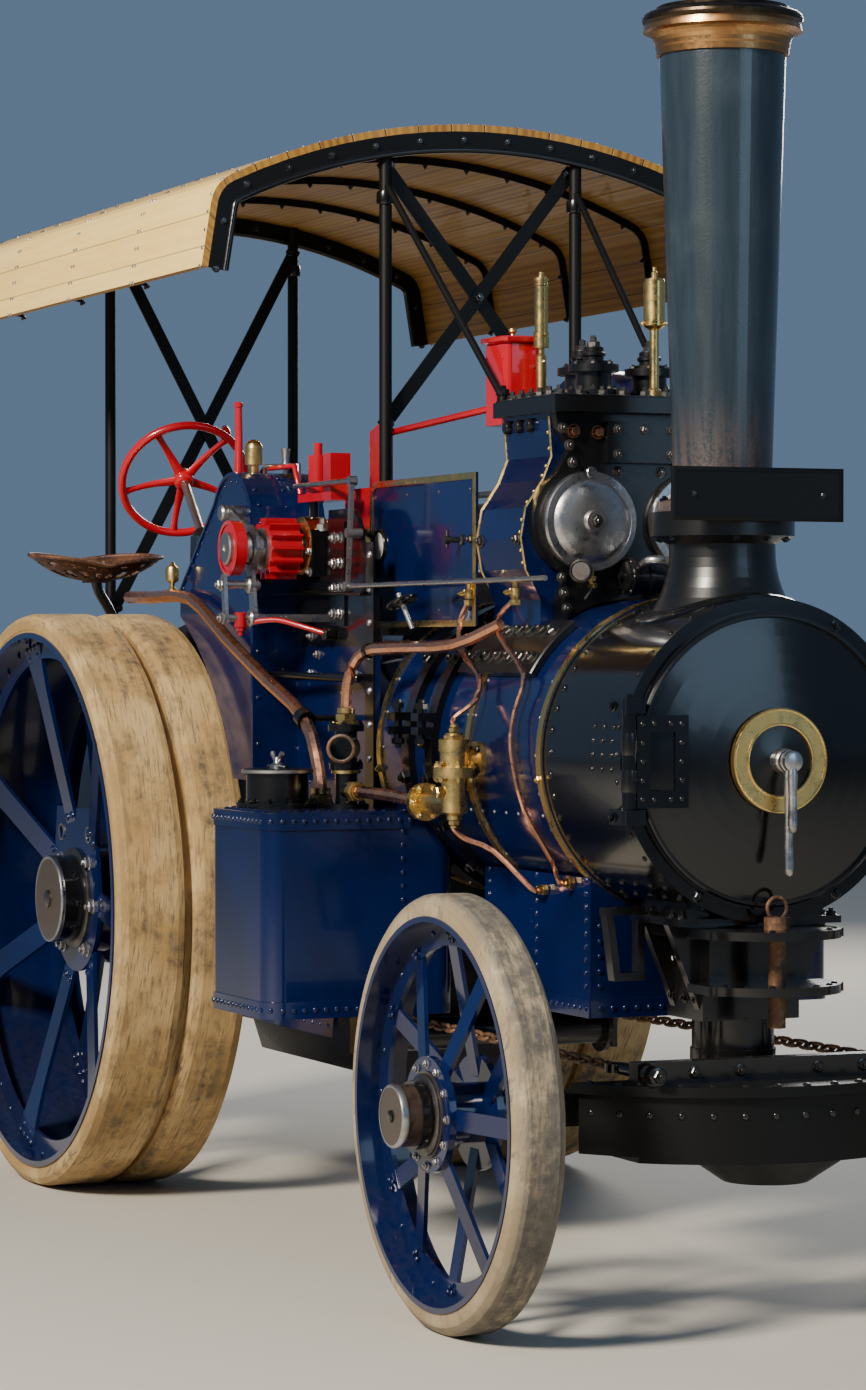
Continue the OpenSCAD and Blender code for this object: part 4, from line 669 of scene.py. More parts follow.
def rearWheelTrim(side, name, body, spokes, first, size, slope, faceY, innerY, plateY, capY, feet, bolts):
    maker = Maker()
    out = leftward * side
    plate = rearAxle + out * plateY
    cap = rearAxle + out * capY
    # outer spokes lean inward, and the inner ones stand between them
    for k in range(2 * spokes):
        angle = math.radians(first - 180 * k / spokes)
        radial, tangent = around(ahead, up, angle), around(up, -ahead, angle)
        for r, t in feet:
            depth = innerY if k % 2 else faceY - (0.895 - r) * slope
            maker.rivet(rearAxle + radial * r + tangent * t + out * depth, out, size)
        if k % 2 == 0:
            for t in (-0.025, 0.025):
                maker.rivet(rearAxle + radial * 0.29 + tangent * t + out * (0.801 + 0.125 * slope), out, 0.014)
    for i in range(42):
        maker.rivet(rearAxle + around(ahead, up, fullTurn * i / 42, 0.898) + out * 0.9205, out, 0.009)
    maker.nuts([plate + step(dx, 0, dz) for dx, dz in bolts], out, 0.021, 1)
    for dx in (-0.15, 0.15):
        maker.collar([(0.03, -0.004), (0.03, 0.004), (0.023, 0.004), (0.023, -0.012)],
                     plate + step(dx, 0, 0.225), out, 20, 1)
    # bright ring at the foot of the hub cap and the worn edge of its face
    maker.collar([(0.1505, 0), (0.176, 0), (0.176, 0.01), (0.168, 0.016), (0.1505, 0.016)], plate, out, 64, 2)
    maker.collar([(0.1505, -0.016), (0.1515, -0.013), (0.1515, -0.004), (0.1495, 0), (0.143, 0.0015),
                  (0.139, 0)], cap, out, 64, 1)
    maker.turn([(0.03, 0), (0.03, 0.006), (0.024, 0.009), (0, 0.009)], cap, out, 24, 2)
    maker.make(name, body, paint["navy"], bare["steel"], bare["dark"])


rearWheelTrim(-1, "rearTrimRight", "rear_right", **rearTrim)
rearWheelTrim(1, "rearTrimLeft", "rear_left", **rearTrim)

frontTrim = {"spokes": 12, "size": 0.0085, "feet": ((0.486, -0.013), (0.486, 0.013), (0.470, 0.0)),
             "faceY": 0.8565, "capY": 1.035}


def frontWheelTrim(side, name, body, spokes, size, feet, faceY, capY):
    maker = Maker()
    out = leftward * side
    for i in range(spokes):
        angle = fullTurn * i / spokes
        radial, tangent = around(ahead, up, angle), around(up, -ahead, angle)
        for r, t in feet:
            for way, depth in ((out, faceY + 0.006), (-out, faceY - 0.019)):
                maker.rivet(frontAxle + radial * r + tangent * t + out * depth, way, size)
        maker.rivet(frontAxle + around(ahead, up, angle + math.pi / spokes, 0.497) + out * faceY, out, size)
        maker.nut(frontAxle + radial * 0.138 + out * 0.929, out, 0.0105, 1, 0.3)
    # bright stepped rings under the cap and the worn lip of its face
    for depth, tone, profile in (
            (0.936, 3, ((0.0845, 0), (0.112, 0), (0.112, 0.006), (0.104, 0.012), (0.0845, 0.012))),
            (0.957, 2, ((0.0842, 0), (0.094, 0), (0.094, 0.02), (0.0842, 0.02))),
            (capY, 1, ((0.0842, -0.02), (0.087, -0.018), (0.087, -0.004), (0.084, 0.0008), (0.078, 0.0008)))):
        maker.collar(profile, frontAxle + out * depth, out, 48, tone)
    maker.turn([(0.017, 0), (0.017, 0.004), (0.013, 0.006), (0, 0.006)], frontAxle + out * capY, out, 20, 2)
    maker.make(name, body, paint["navy"], bare["steel"], paint["black"], bare["dark"])


frontWheelTrim(-1, "frontTrimRight", "front_right", **frontTrim)
frontWheelTrim(1, "frontTrimLeft", "front_left", **frontTrim)
print("wheels trimmed")


# Side tanks: an edge strip with rivets at top and bottom, seams and the studs of the top plate
tankLook = {"x0": 1.73, "x1": 2.23, "y": 0.95, "innerY": 0.49, "corner": 0.06, "z0": 0.755, "z1": 1.37,
            "pitch": 0.034, "size": 0.0085, "strip": 0.052, "thick": 0.005}


# Outline of a side tank seen from above, with outward directions
def tankPath(side, x0, x1, y, innerY, corner):
    route = [(Vector((x0, innerY)), bearing(180)), (Vector((x0, y - corner)), bearing(180))]
    for x, start in ((x0 + corner, 180), (x1 - corner, 90)):
        route += [(Vector((x, y - corner)) + bearing(a, corner), bearing(a))
                  for a in range(start, start - 91, -15)]
    route.append((Vector((x1, innerY)), bearing(0)))
    return [(Vector((p.x, side * p.y)), Vector((n.x, side * n.y))) for p, n in route]


def sideTankTrim(x0, x1, y, innerY, corner, z0, z1, pitch, size, strip, thick):
    maker = Maker()
    for side in sides:
        route = tankPath(side, x0, x1, y, innerY, corner)
        for low, high in ((z1 - strip, z1), (z0, z0 + strip)):
            rings = []
            for p, n in route:
                inner, outer = p - n * 0.001, p + n * thick
                rings.append([at(inner.x, inner.y, low), at(outer.x, outer.y, low),
                              at(outer.x, outer.y, high - 0.0015), at(inner.x, inner.y, high)])
            maker.skin(rings)
            for p, n in walk(route, pitch):
                spot = p + n * thick
                maker.rivet(at(spot.x, spot.y, (low + high) / 2), step(n.x, n.y, 0), size)
        for x, face in ((x1, ahead), (x0, -ahead)):
            maker.rivetRow(at(x, side * 0.512, z0 + 0.06), at(x, side * 0.512, z1 - 0.06), pitch * 1.2, face,
                           size)
        for ax, ay, bx, by in ((x0 + 0.03, 0.56, x0 + 0.03, 0.88), (x1 - 0.03, 0.56, x1 - 0.03, 0.88),
                               (x0 + 0.09, 0.925, x1 - 0.09, 0.925)):
            maker.rivetRow(at(ax, side * ay, z1), at(bx, side * by, z1), pitch, up, size)
    maker.make("sideTankRivets", "chassis", paint["navy"])


sideTankTrim(**tankLook)

bellyLook = {"x0": 2.362, "x1": 3.1, "y": 0.3, "z0": 0.81, "z1": 1.2, "pitch": 0.038, "size": 0.009,
             "strip": 0.055, "thick": 0.005, "end": 0.27}


def bellyTrim(x0, x1, y, z0, z1, pitch, size, strip, thick, end):
    maker = Maker()
    rowZ = z0 + 0.027
    for side in sides:
        out = leftward * side
        face = side * (y + thick)
        low, high = sorted((side * y, face))
        maker.box(at(x0, low, z0), at(x1, high, z0 + strip), 0, 0.001)
        maker.rivetRow(at(x0 + 0.02, face, rowZ), at(x1 - 0.02, face, rowZ), pitch, out, size)
        for x in (x0 + 0.03, x0 + 0.37, x1 - 0.03):
            maker.rivetRow(at(x, side * y, z0 + 0.09), at(x, side * y, z1), pitch, out, size)
    for x, way in ((x1, ahead), (x0, -ahead)):
        face = x + way.x * thick
        low, high = sorted((x, face))
        maker.box(at(low, -y, z0), at(high, y, z0 + strip), 0, 0.001)
        maker.rivetRow(at(face, -end, rowZ), at(face, end, rowZ), pitch, way, size)
        for side in sides:
            maker.rivetRow(at(x, side * end, z0 + 0.09), at(x, side * end, z0 + 0.26), pitch, way, size)
    # washout plugs
    for side in sides:
        maker.nut(at(2.5, side * y, 0.93), leftward * side, 0.026, 1)
    maker.make("bellyTankRivets", "chassis", paint["navy"], bare["brass"])


bellyTrim(**bellyLook)
print("tanks riveted")


# Smokebox: seams, the saddle's flange and bolts, hinge bolts and the door's clamps
smokeLook = {"x0": 3.1, "x1": 3.6, "radius": 0.447, "size": 0.011, "small": 0.0085, "stackX": 3.33,
             "flange": ((0.205, 0.001), (0.246, 0.001), (0.246, 0.007), (0.24, 0.010), (0.205, 0.014))}


def smokeboxTrim(x0, x1, radius, size, small, stackX, flange):
    maker = Maker()

    def saddle(angle, r, lift):
        x, y = r * math.cos(angle), r * math.sin(angle)
        return at(stackX + x, y, boilerZ + math.sqrt(radius * radius - y * y) + lift)

    maker.hoop(x0 + 0.045, radius, 0.062, size)
    maker.hoop(x1 - 0.03, radius, 0.075, small)
    for stations, angles, head in (((3.42, 3.48, 3.54), (78, 83, 88, 93), small),
                                   ((3.18, 3.27, 3.36, 3.45, 3.54), (-141, -148, 141, 148), size)):
        for x in stations:
            for angle in angles:
                maker.rivet(*onBoiler(x, angle, radius), head)
    for i in range(40):
        angle = fullTurn * i / 40
        place = saddle(angle, 0.222, 0)
        out = step(0, place.y, place.z - boilerZ).normalized()
        maker.rivet(place + up * 0.006, out + ahead * 0.15 * math.cos(angle), 0.0105)
    maker.skin([[saddle(fullTurn * i / 72, r, lift) for r, lift in flange] for i in range(72)], loop=True)
    for z, r, way, stud in ((2.268, 0.166, up, 0.4), (2.172, 0.182, -up, 0.2)):
        maker.nuts(ringPlaces(at(stackX, 0, z), up, r, 12, 15), way, 0.013, 0, stud)
    for z in (1.401, 1.703):
        maker.nut(at(3.565, -0.452, z), -leftward, 0.012, 0, 0.3)
        maker.nut(at(3.62, -0.41, z), ahead, 0.012, 0, 0.3)
    maker.nuts([onBoiler(x1, angle, 0.427)[0] for angle in (-30, -70, -110, -150, 150)], ahead, 0.013, 0, 0.6)
    maker.make("smokeboxRivets", "chassis", paint["gloss"])


smokeboxTrim(**smokeLook)

doorLook = {"face": 3.6603, "lips": (0.14, 0.1), "strapX": 3.6423,
            "lip": ((-0.004, 0.0175), (-0.0035, 0.0205), (0, 0.022), (0.0035, 0.0205), (0.004, 0.0175)),
            "handles": ((0.066, 0.03, 0.292), (0.088, 0.028, 0.172))}


def doorTrim(face, lips, strapX, lip, handles):
    maker = Maker()
    centre = at(face, 0, boilerZ)
    # raised lips of the brass ring, its inner dish and the handles' polished boss
    for r in lips:
        maker.collar([(r + dr, h) for dr, h in lip], centre, ahead, 72, 1)
    maker.collar([(0.1, 0.008), (0.1, 0.012), (0.06, 0.014), (0.03, 0.020)], centre, ahead, 48, 0)
    maker.collar([(0.034, 0.012), (0.034, 0.05), (0.03, 0.056), (0.026, 0.0585)], centre, ahead, 32, 2)
    maker.turn([(0.0215, 0.062), (0.0215, 0.09), (0.018, 0.0975), (0, 0.1)], centre, ahead, 32, 2)
    # eyes of the two handles, which swell towards their ends
    for x, r, _ in handles:
        maker.turn([(r - 0.006, -0.011), (r, -0.007), (r, 0.007), (r - 0.006, 0.011)], centre + ahead * x,
                   ahead, 28, 2)
    for x, _, length in handles:
        maker.turn([(0.0125, 0), (0.0145, 0.02), (0.0115, length * 0.45), (0.0105, length * 0.7),
                    (0.0125, length - 0.02), (0.01125, length - 0.004), (0.00625, length + 0.002),
                    (0, length + 0.003)], centre + ahead * x - up * 0.02, -up, 20, 2)
    # rivets and knuckles of the hinge strap, and the bead round the door's rim
    for y in (-0.40, -0.282):
        maker.rivetRow(at(strapX, y, 1.45), at(strapX, y, 1.654), 0.05, ahead, 0.0085)
    for z in (1.449, 1.655):
        maker.rivetRow(at(strapX, -0.365, z), at(strapX, -0.315, z), 0.05, ahead, 0.0085)
    for z in (1.5, 1.6):
        maker.collar([(0.0215, -0.03), (0.0225, -0.02), (0.0225, 0.02), (0.0215, 0.03)],
                     at(3.628, -0.434, z), up)
    maker.collar([(0.403, 0), (0.405, 0.0045), (0.400, 0.0085), (0.394, 0.0085), (0.391, 0)],
                 at(3.6143, 0, boilerZ), ahead, 96)
    maker.make("doorTrim", "smoke_door", paint["black"], bare["brass"], bare["steel"])


doorTrim(**doorLook)
print("smokebox trimmed")


# Cylinder block: studs and nuts, plugs, bright edging and the nuts of its saddle
blockLook = {"x0": 2.42, "x1": 2.86, "y": 0.3, "top": 2.59, "front": 2.8, "size": 0.0155, "inset": 0.024,
             "lip": 0.006, "chests": ((2.61, -0.095), (2.76, -0.13), (2.64, 0.11)),
             "edge": ((0.2985, 2.01), (0.345, 2.09), (0.36, 2.18), (0.345, 2.27), (0.29, 2.35), (0.262, 2.42),
                      (0.270, 2.535)),
             "studs": ((0.247, 2.50), (0.226, 2.45), (0.216, 2.40), (0.25, 2.065), (0.243, 2.02),
                       (0.235, 1.975), (0.07, 2.375)),
             "saddleX": (2.40, 2.93), "low": 35, "high": 60}


def blockTrim(x0, x1, y, top, front, size, inset, lip, chests, edge, studs, saddleX, low, high):
    maker = Maker()
    # raised face of the top flange, with nuts round its edge
    maker.box(at(x0 + lip, lip - y, top - 0.0005), at(x1 - lip, y - lip, top + lip), 0, 0.002)
    rear, fore, wide = x0 + inset, x1 - inset, y - inset
    corners = [at(*place, top + lip) for place in ((rear, -wide), (fore, -wide), (fore, wide), (rear, wide))]
    for a, b in zip(corners, corners[1:] + corners[:1]):
        count = round((b - a).length / 0.066)
        maker.nuts([a.lerp(b, i / count) for i in range(count)], up, size, 1, 0.7)
    # lids of the three valve chests on top
    for chestX, chestY in chests:
        chest = at(chestX, chestY, top)
        maker.nuts(ringPlaces(chest + up * 0.024, up, 0.0655, 8, 20), up, 0.0085, 1)
        maker.nuts(ringPlaces(chest + up * 0.098, up, 0.056, 6, 5), up, 0.009, 1)
        maker.collar([(0.0305, 0), (0.036, 0.004), (0.036, 0.012), (0.0305, 0.016)], chest + up * 0.12)
        maker.nut(chest + up * 0.148, up, 0.02, 1, 0.8)
    # copper plugs, the round boss and the black plugs beside the flange
    for plug in (at(front, -0.214, 2.491), at(front, -0.136, 2.489)):
        maker.collar([(0.021, 0), (0.021, 0.006), (0.017, 0.006)], plug, ahead, 20, 2)
        maker.turn([(0.0155, 0), (0.0155, 0.018), (0.013, 0.022), (0, 0.022)], plug, ahead, 6, 2, 0.4)
    maker.turn([(0.042, 0), (0.042, 0.03), (0.036, 0.036), (0.016, 0.038), (0.016, 0.05), (0, 0.05)],
               at(front, 0.14, 2.43), ahead, 32)
    for x in (2.47, 2.55, 2.63):
        for side in sides:
            maker.turn([(0.02, 0), (0.02, 0.012), (0.016, 0.018), (0, 0.019)], at(x, side * 0.268, 2.515),
                       leftward * side, 20)
    # studs of the front plate, of the raised plate on it and of the cladding's swelling
    for side in sides:
        maker.nuts([at(front, side * sy, sz) for sy, sz in studs], ahead, 0.013, 1)
    maker.nuts([at(2.834, sy, sz) for sy, sz in ((-0.085, 2.425), (0.085, 2.425), (-0.085, 2.497),
                                                 (0.085, 2.497), (0.0, 2.497))], ahead, 0.0125, 1)
    for x in (2.47, 2.73):
        for side in sides:
            maker.nut(at(x, side * 0.36, 2.178), leftward * side, 0.014, 1)
    # bright lines and small rivets along the edges of the cladding
    for side in sides:
        for x in (2.754, 2.436):
            maker.hose([at(x, side * ey, ez) for ey, ez in edge], 0.0042, 6, 3)
        line = [at(2.738, side * ey, ez) for ey, ez in edge]
        for a, b in zip(line, line[1:]):
            for t in (0.2, 0.6):
                maker.rivet(a.lerp(b, t), ahead.cross(a - b) * side, 0.0065, 3, 6)
    # saddle plate on the barrel, with its two rows of large nuts
    for side in sides:
        angles = [-side * (low + (high - low) * k / 8) for k in range(9)]
        maker.skin([[onBoiler(x, a, 0.452)[0] for a in angles]
                    + [onBoiler(x, a, r)[0] for a in reversed(angles)]
                    for x, r in ((saddleX[0], 0.470), (saddleX[0] + 0.004, 0.474), (saddleX[1] - 0.004, 0.474),
                                 (saddleX[1], 0.470))])
        for i in range(7):
            for angle in (low + 7, high - 6):
                maker.nut(*onBoiler(saddleX[0] + 0.04 + i * 0.075, -side * angle, 0.474), 0.0185, 1, 0.6)
    maker.make("blockTrim", "chassis", paint["soot"], bare["dark"], bare["copper"], bare["brass"])


blockTrim(**blockLook)

coverLook = {"x": 2.834, "y": 0.17, "z": 2.228}


def coverTrim(x, y, z):
    maker = Maker()
    for side in sides:
        centre = at(x, side * y, z)
        # raised rim, dished middle and centre boss with its nut
        maker.collar([(0.1445, -0.03), (0.1465, -0.027), (0.1465, -0.004), (0.143, 0.001), (0.128, 0.001),
                      (0.124, -0.004)], centre, ahead, 72)
        maker.turn([(0.124, -0.007), (0.118, 0.004), (0.10, 0.013), (0.07, 0.02), (0.036, 0.023), (0.034, 0.03),
                    (0.03, 0.034), (0, 0.034)], centre, ahead, 72)
        maker.nut(centre + ahead * 0.033, ahead, 0.0155, 1)
        # lifting lug on the rim, and the drain cock below with its lever
        maker.rod(centre + step(-0.02, 0, 0.142), centre + step(0.004, 0, 0.142), 0.017, 16, 0, 0.002)
        foot = centre + step(-0.004, 0, -0.142)
        maker.rod(foot, foot - up * 0.03, 0.009, 12, 2)
        maker.nut(foot - up * 0.02, -up, 0.014, 2, 0.4)
        maker.rod(foot + step(-0.012, 0, -0.045), foot + step(0.03, 0, -0.045), 0.008, 12, 2, 0.001)
        maker.rod(foot + step(0.02, 0, -0.045), foot + step(0.02, side * 0.03, -0.085), 0.004, 8, 1)
    maker.make("coverTrim", "chassis", bare["steel"], bare["dark"], bare["brass"])


coverTrim(**coverLook)

chestLook = {"x": 2.846, "z": 2.068,
             "lowPipe": ((2.87, 0.05, 2.03), (2.90, 0.06, 2.0), (2.93, 0.10, 1.995), (2.96, 0.17, 1.97),
                         (2.97, 0.26, 1.93), (2.95, 0.33, 1.86)),
             "highPipe": ((2.88, -0.03, 2.10), (2.93, -0.02, 2.115), (2.955, 0.06, 2.10), (2.95, 0.11, 2.05),
                          (2.94, 0.12, 2.0))}


def chestTrim(x, z, lowPipe, highPipe):
    maker = Maker()
    for side in sides:
        out = leftward * side
        end = at(x, side * 0.062, z)
        maker.turn([(0.046, 0), (0.044, 0.008), (0.03, 0.013), (0.012, 0.014), (0.012, 0.026), (0, 0.026)],
                   end, out, 32)
        for place in ringPlaces(end - out * 0.0005, out, 0.0495, 6):
            maker.rivet(place, out, 0.006, 1, 6)
    # bent pipes from the chest, and the dial beside it on its stalk
    maker.hose(smoothRoute([at(*p) for p in lowPipe]), 0.0125, 12, 1)
    maker.hose(smoothRoute([at(*p) for p in highPipe]), 0.014, 12, 2)
    maker.turn([(0.03, 0), (0.034, 0.004), (0.034, 0.014), (0.029, 0.018), (0.026, 0.014), (0, 0.014)],
               at(2.862, -0.215, 2.083), step(0.8, -0.6, 0), 32, 1)
    maker.rod(at(2.80, -0.19, 2.083), at(2.866, -0.212, 2.083), 0.008, 10, 1)
    maker.make("chestTrim", "chassis", paint["soot"], bare["dark"], bare["steel"])


chestTrim(**chestLook)
print("cylinders trimmed")


# Bordered motion covers with screws, a latch, a cock and a blank badge
motionLook = {"y": 0.36, "x0": 1.60, "x1": 2.43, "z0": 1.925, "z1": 2.385, "corner": 0.06, "width": 0.02,
              "thick": 0.0035}


def motionTrim(y, x0, x1, z0, z1, corner, width, thick):
    maker = Maker()
    long, high = x1 - x0, z1 - z0
    for side in sides:
        out = leftward * side
        # the rounded corner is the rear one at the top on both sides
        if side < 0:
            outline = [(0, 0), (long, 0), (long, high)]
            outline += [Vector((corner, high - corner)) + bearing(a, corner) for a in range(90, 181, 15)]
        else:
            outline = [(0, 0), (long, 0), (0, high)]
            outline[2:2] = [Vector((long - corner, high - corner)) + bearing(a, corner)
                            for a in range(0, 91, 15)]
        maker.border(outline, at(x0 if side < 0 else x1, side * y, z0), ahead * -side, up, width, thick)
        for x in (x0 + 0.045, x0 + 0.30, x0 + 0.55, x1 - 0.045):
            for z in (z0 + 0.05, z1 - 0.05):
                maker.rivet(at(x, side * y, z), out, 0.006, 2, 6)
        latch = at(1.63, side * y, 2.007)
        maker.turn([(0.014, 0), (0.014, 0.012), (0.01, 0.018), (0, 0.018)], latch, out, 16, 2)
        maker.hose([latch + out * 0.014 + up * 0.02, latch + out * 0.022 + up * 0.004,
                    latch + out * 0.02 - up * 0.03], 0.006, 8, 2)
        maker.nuts([at(1.606, side * (y + 0.003), z) for z in (2.15, 2.22)], out, 0.01, 2)
        cock = at(2.328, side * y, 2.185)
        maker.turn([(0.016, 0), (0.016, 0.006), (0.009, 0.01), (0.009, 0.04), (0.013, 0.042), (0.013, 0.06),
                    (0, 0.06)], cock, out, 16, 2)
        maker.rod(cock + out * 0.05 - up * 0.024, cock + out * 0.05 + up * 0.03, 0.005, 10, 2, 0.001)
        maker.nut(at(2.40, side * y, 2.185), out, 0.013, 2, 0.6)
        badge = at(1.683, side * y, 2.182)
        maker.collar([(0.053, 0), (0.053, 0.005), (0.05, 0.009), (0.044, 0.009), (0.042, 0.005)], badge, out,
                     40, 3)
        maker.turn([(0.043, 0), (0.043, 0.0055), (0, 0.0055)], badge, out, 40, 4)
    maker.make("motionTrim", "chassis", bare["brass"], paint["navy"], bare["dark"], paint["black"],
               paint["white"])


motionTrim(**motionLook)


# Gear side: raised edge and rivets of the guard, crank bearings, bracing plates, small cups and the red lever
guardLook = {"y": -0.6, "hump": (0.988, 2.238), "bend": 0.2, "tail": (0.480, 2.06), "size": 0.008,
             "plateY": 0.451, "thick": 0.007,
             "seams": (((-0.27, 0.80), (-0.27, 1.47)), ((-0.15, 1.875), (0.42, 1.96)),
                       ((0.42, 1.96), (1.12, 2.04)), ((0.34, 0.655), (1.46, 0.655))),
             "lever": ((0.9, -0.545, 2.40), (0.893, -0.543, 2.47), (0.888, -0.54, 2.55),
                       (0.884, -0.54, 2.665)),
             "link": ((1.35, -0.66, 1.945), (1.40, -0.60, 1.95), (1.46, -0.54, 1.93), (1.52, -0.475, 1.905))}


def guardTrim(y, hump, bend, tail, size, plateY, thick, seams, lever, link):
    maker = Maker()
    hump = Vector(hump)
    path = [Vector(tail)] + [hump + bearing(a, bend) for a in range(148, -1, -8)]
    path.append(Vector((hump.x + bend, 1.44)))
    rings = []
    for i, p in enumerate(path):
        heading = (path[min(i + 1, len(path) - 1)] - path[max(i - 1, 0)]).normalized()
        q = p + Vector((heading.y, -heading.x)) * 0.013
        rings.append([at(p.x, y + 0.001, p.y), at(p.x, y - 0.004, p.y), at(q.x, y - 0.006, q.y),
                      at(q.x, y + 0.001, q.y)])
    maker.skin(rings)
    for p, _ in walk([(p, Vector((0, 1))) for p in path], 0.062):
        spot = p + (hump - Vector((0, 0.12)) - p).normalized() * 0.03
        maker.rivet(at(spot.x, y, spot.y), -leftward, size)
    # rivets down the front face of the hump, where the gear levers leave it free
    for faceY, angles in ((-0.575, (8, 26, 44, 62)), (-0.475, (44, 62)), (-0.375, (44, 62))):
        for a in angles:
            out = around(ahead, up, math.radians(a))
            maker.rivet(at(hump.x, faceY, hump.y) + out * bend, out, size, 0, 6)
    for z in (1.55, 1.70, 1.85, 2.0):
        maker.rivet(at(hump.x + bend, -0.585, z), ahead, size, 0, 6)
    # crank bearings: a brass ring and the studs of their caps
    for side in sides:
        out = leftward * side
        maker.collar([(0.09, -0.03), (0.094, -0.026), (0.094, 0.046), (0.088, 0.05), (0.06, 0.052),
                      (0.054, 0.049)], at(1.3, side * 0.435, 2.19), out, 48, 1)
        maker.nuts([at(x, side * 0.435, 2.24) for x in (1.222, 1.378)], up, 0.022, 2, 0.8)
        maker.nuts([at(x, side * 0.48, z) for z in (2.105, 2.17) for x in (1.22, 1.38)], out, 0.012, 2, 0.4)
    # dark strips and bolts on the hornplates, stay bolts over the firebox side, and the plates' seams
    for side in sides:
        out = leftward * side
        inner, outer = side * plateY, side * (plateY + thick)
        low, high = sorted((inner, outer))
        maker.box(at(1.795, low, 1.16), at(1.862, high, 2.19), 3, 0.001)
        maker.rivetRow(at(1.828, outer, 1.2), at(1.828, outer, 2.15), 0.105, out, 0.0125, 2)
        maker.box(at(1.50, low, 1.93), at(1.62, high, 2.26), 3, 0.001)
        maker.nuts([at(x, outer, z) for z in (1.97, 2.05, 2.13, 2.21) for x in (1.535, 1.59)], out, 0.0145, 2,
                   0.4)
        maker.nuts([at(x, inner, z) for x, z in ((1.32, 1.90), (1.38, 1.84), (1.32, 1.78), (1.62, 1.72),
                                                 (1.70, 1.78))], out, 0.013, 2)
        for row in range(6):
            for column in range(9):
                maker.rivet(at(0.46 + column * 0.105, inner, 1.22 + row * 0.105), out, 0.009, 0, 6)
        for (ax, az), (bx, bz) in seams:
            maker.rivetRow(at(ax, inner, az), at(bx, inner, bz), 0.07, out, 0.0085)
    # trumpet cup and steel handle bar on the hump
    maker.turn([(0.008, 0), (0.008, 0.03), (0.013, 0.034), (0.011, 0.05), (0.016, 0.085), (0.012, 0.085),
                (0, 0.05)], at(1.06, -0.44, 2.43), up, 16, 2)
    maker.hose([at(1.0, -0.49, 2.437), at(1.0, -0.49, 2.458), at(1.13, -0.42, 2.458), at(1.13, -0.42, 2.40)],
               0.0075, 10, 2)
    # red lever with its forked foot and knob, and the red bar behind the brass cup
    maker.hose(smoothRoute([at(*p) for p in lever]), lambda t: 0.0115 + 0.004 * (1 - t), 14, 4)
    maker.rod(at(0.905, -0.57, 2.415), at(0.905, -0.51, 2.415), 0.02, 20, 4, 0.003)
    maker.rod(at(0.884, -0.54, 2.655), at(0.884, -0.54, 2.675), 0.015, 16, 4, 0.004)
    maker.hose([at(0.95, -0.49, 2.432), at(0.97, -0.48, 2.452), at(1.19, -0.46, 2.452), at(1.22, -0.45, 2.36)],
               0.009, 10, 4)
    # bolts of the yoke's joints, and its red link to the hornplate
    boltHead = [(0.027, 0), (0.027, 0.008), (0.022, 0.014), (0, 0.015)]
    maker.turn(boltHead, at(1.097, -0.67, 2.30), -leftward, 24, 2)
    for x, z in ((1.316, 2.063), (1.335, 1.957)):
        maker.turn(boltHead, at(x, -0.66, z), -leftward, 24, 2)
        maker.nut(at(x, -0.76, z), -leftward, 0.016, 2, 0.4)
    maker.rod(at(1.335, -0.70, 1.93), at(1.335, -0.70, 1.975), 0.02, 16, 4, 0.003)
    maker.nut(at(1.335, -0.70, 1.93), -up, 0.017, 4, 0.8)
    maker.hose(smoothRoute([at(*p) for p in link]), 0.009, 12, 4)
    maker.rod(at(1.52, -0.49, 1.905), at(1.52, -0.4505, 1.905), 0.022, 20, 3, 0.003)
    # long rods across the hornplate's face
    maker.rod(at(1.19, -0.47, 2.04), at(1.80, -0.47, 2.03), 0.0075, 10, 3)
    maker.rod(at(1.15, -0.54, 1.775), at(1.80, -0.48, 1.765), 0.013, 12, 3, 0.002)
    for x, rodY in ((1.16, -0.54), (1.79, -0.48)):
        maker.rod(at(x, rodY, 1.772), at(x, -0.4505, 1.772), 0.009, 10, 3)
    maker.make("gearSideTrim", "chassis", paint["navy"], bare["brass"], bare["steel"], paint["black"],
               paint["red"])


guardTrim(**guardLook)

crankLook = {"x": 1.3, "z": 2.18, "discY": -0.729, "pinionY": -0.61, "flywheelY": 0.68}


def crankTrim(x, z, discY, pinionY, flywheelY):
    maker = Maker()
    # steel face and edge of the red disc, the pinion's hub and the brass eccentric rings
    disc = at(x, discY, z)
    maker.turn([(0.052, 0), (0.052, 0.01), (0.047, 0.014), (0.012, 0.014), (0.010, 0.010), (0, 0.010)], disc,
               -leftward, 40, 1)
    maker.collar([(0.088, 0), (0.089, 0.003), (0.082, 0.006), (0.076, 0.003)], disc, -leftward, 48)
    maker.collar([(0.0455, 0), (0.066, 0), (0.066, 0.009), (0.06, 0.012), (0.0455, 0.012)], at(x, pinionY, z),
                 -leftward, 40, 1)
    for y in (-0.30, 0.30):
        maker.collar([(0.0455, -0.018), (0.10, -0.018), (0.104, -0.013), (0.104, 0.013), (0.10, 0.018),
                      (0.0455, 0.018)], at(x + 0.02, y, z), leftward, 48, 2)
    # nuts of the flywheel's hub
    maker.nuts(ringPlaces(at(x, flywheelY, z), leftward, 0.072, 6), leftward, 0.012, 1)
    maker.make("crankTrim", "crank", paint["red"], bare["steel"], bare["brass"])


crankTrim(**crankLook)
print("gear side trimmed")


# Red handwheel with oval tapered spokes, in place of the plain one
helmLook = {"place": (-0.106, -0.38, 2.46), "slope": 33, "radius": 0.221, "rim": 0.0145, "spokes": 5,
            "shaft": 0.48, "knob": 4.0}


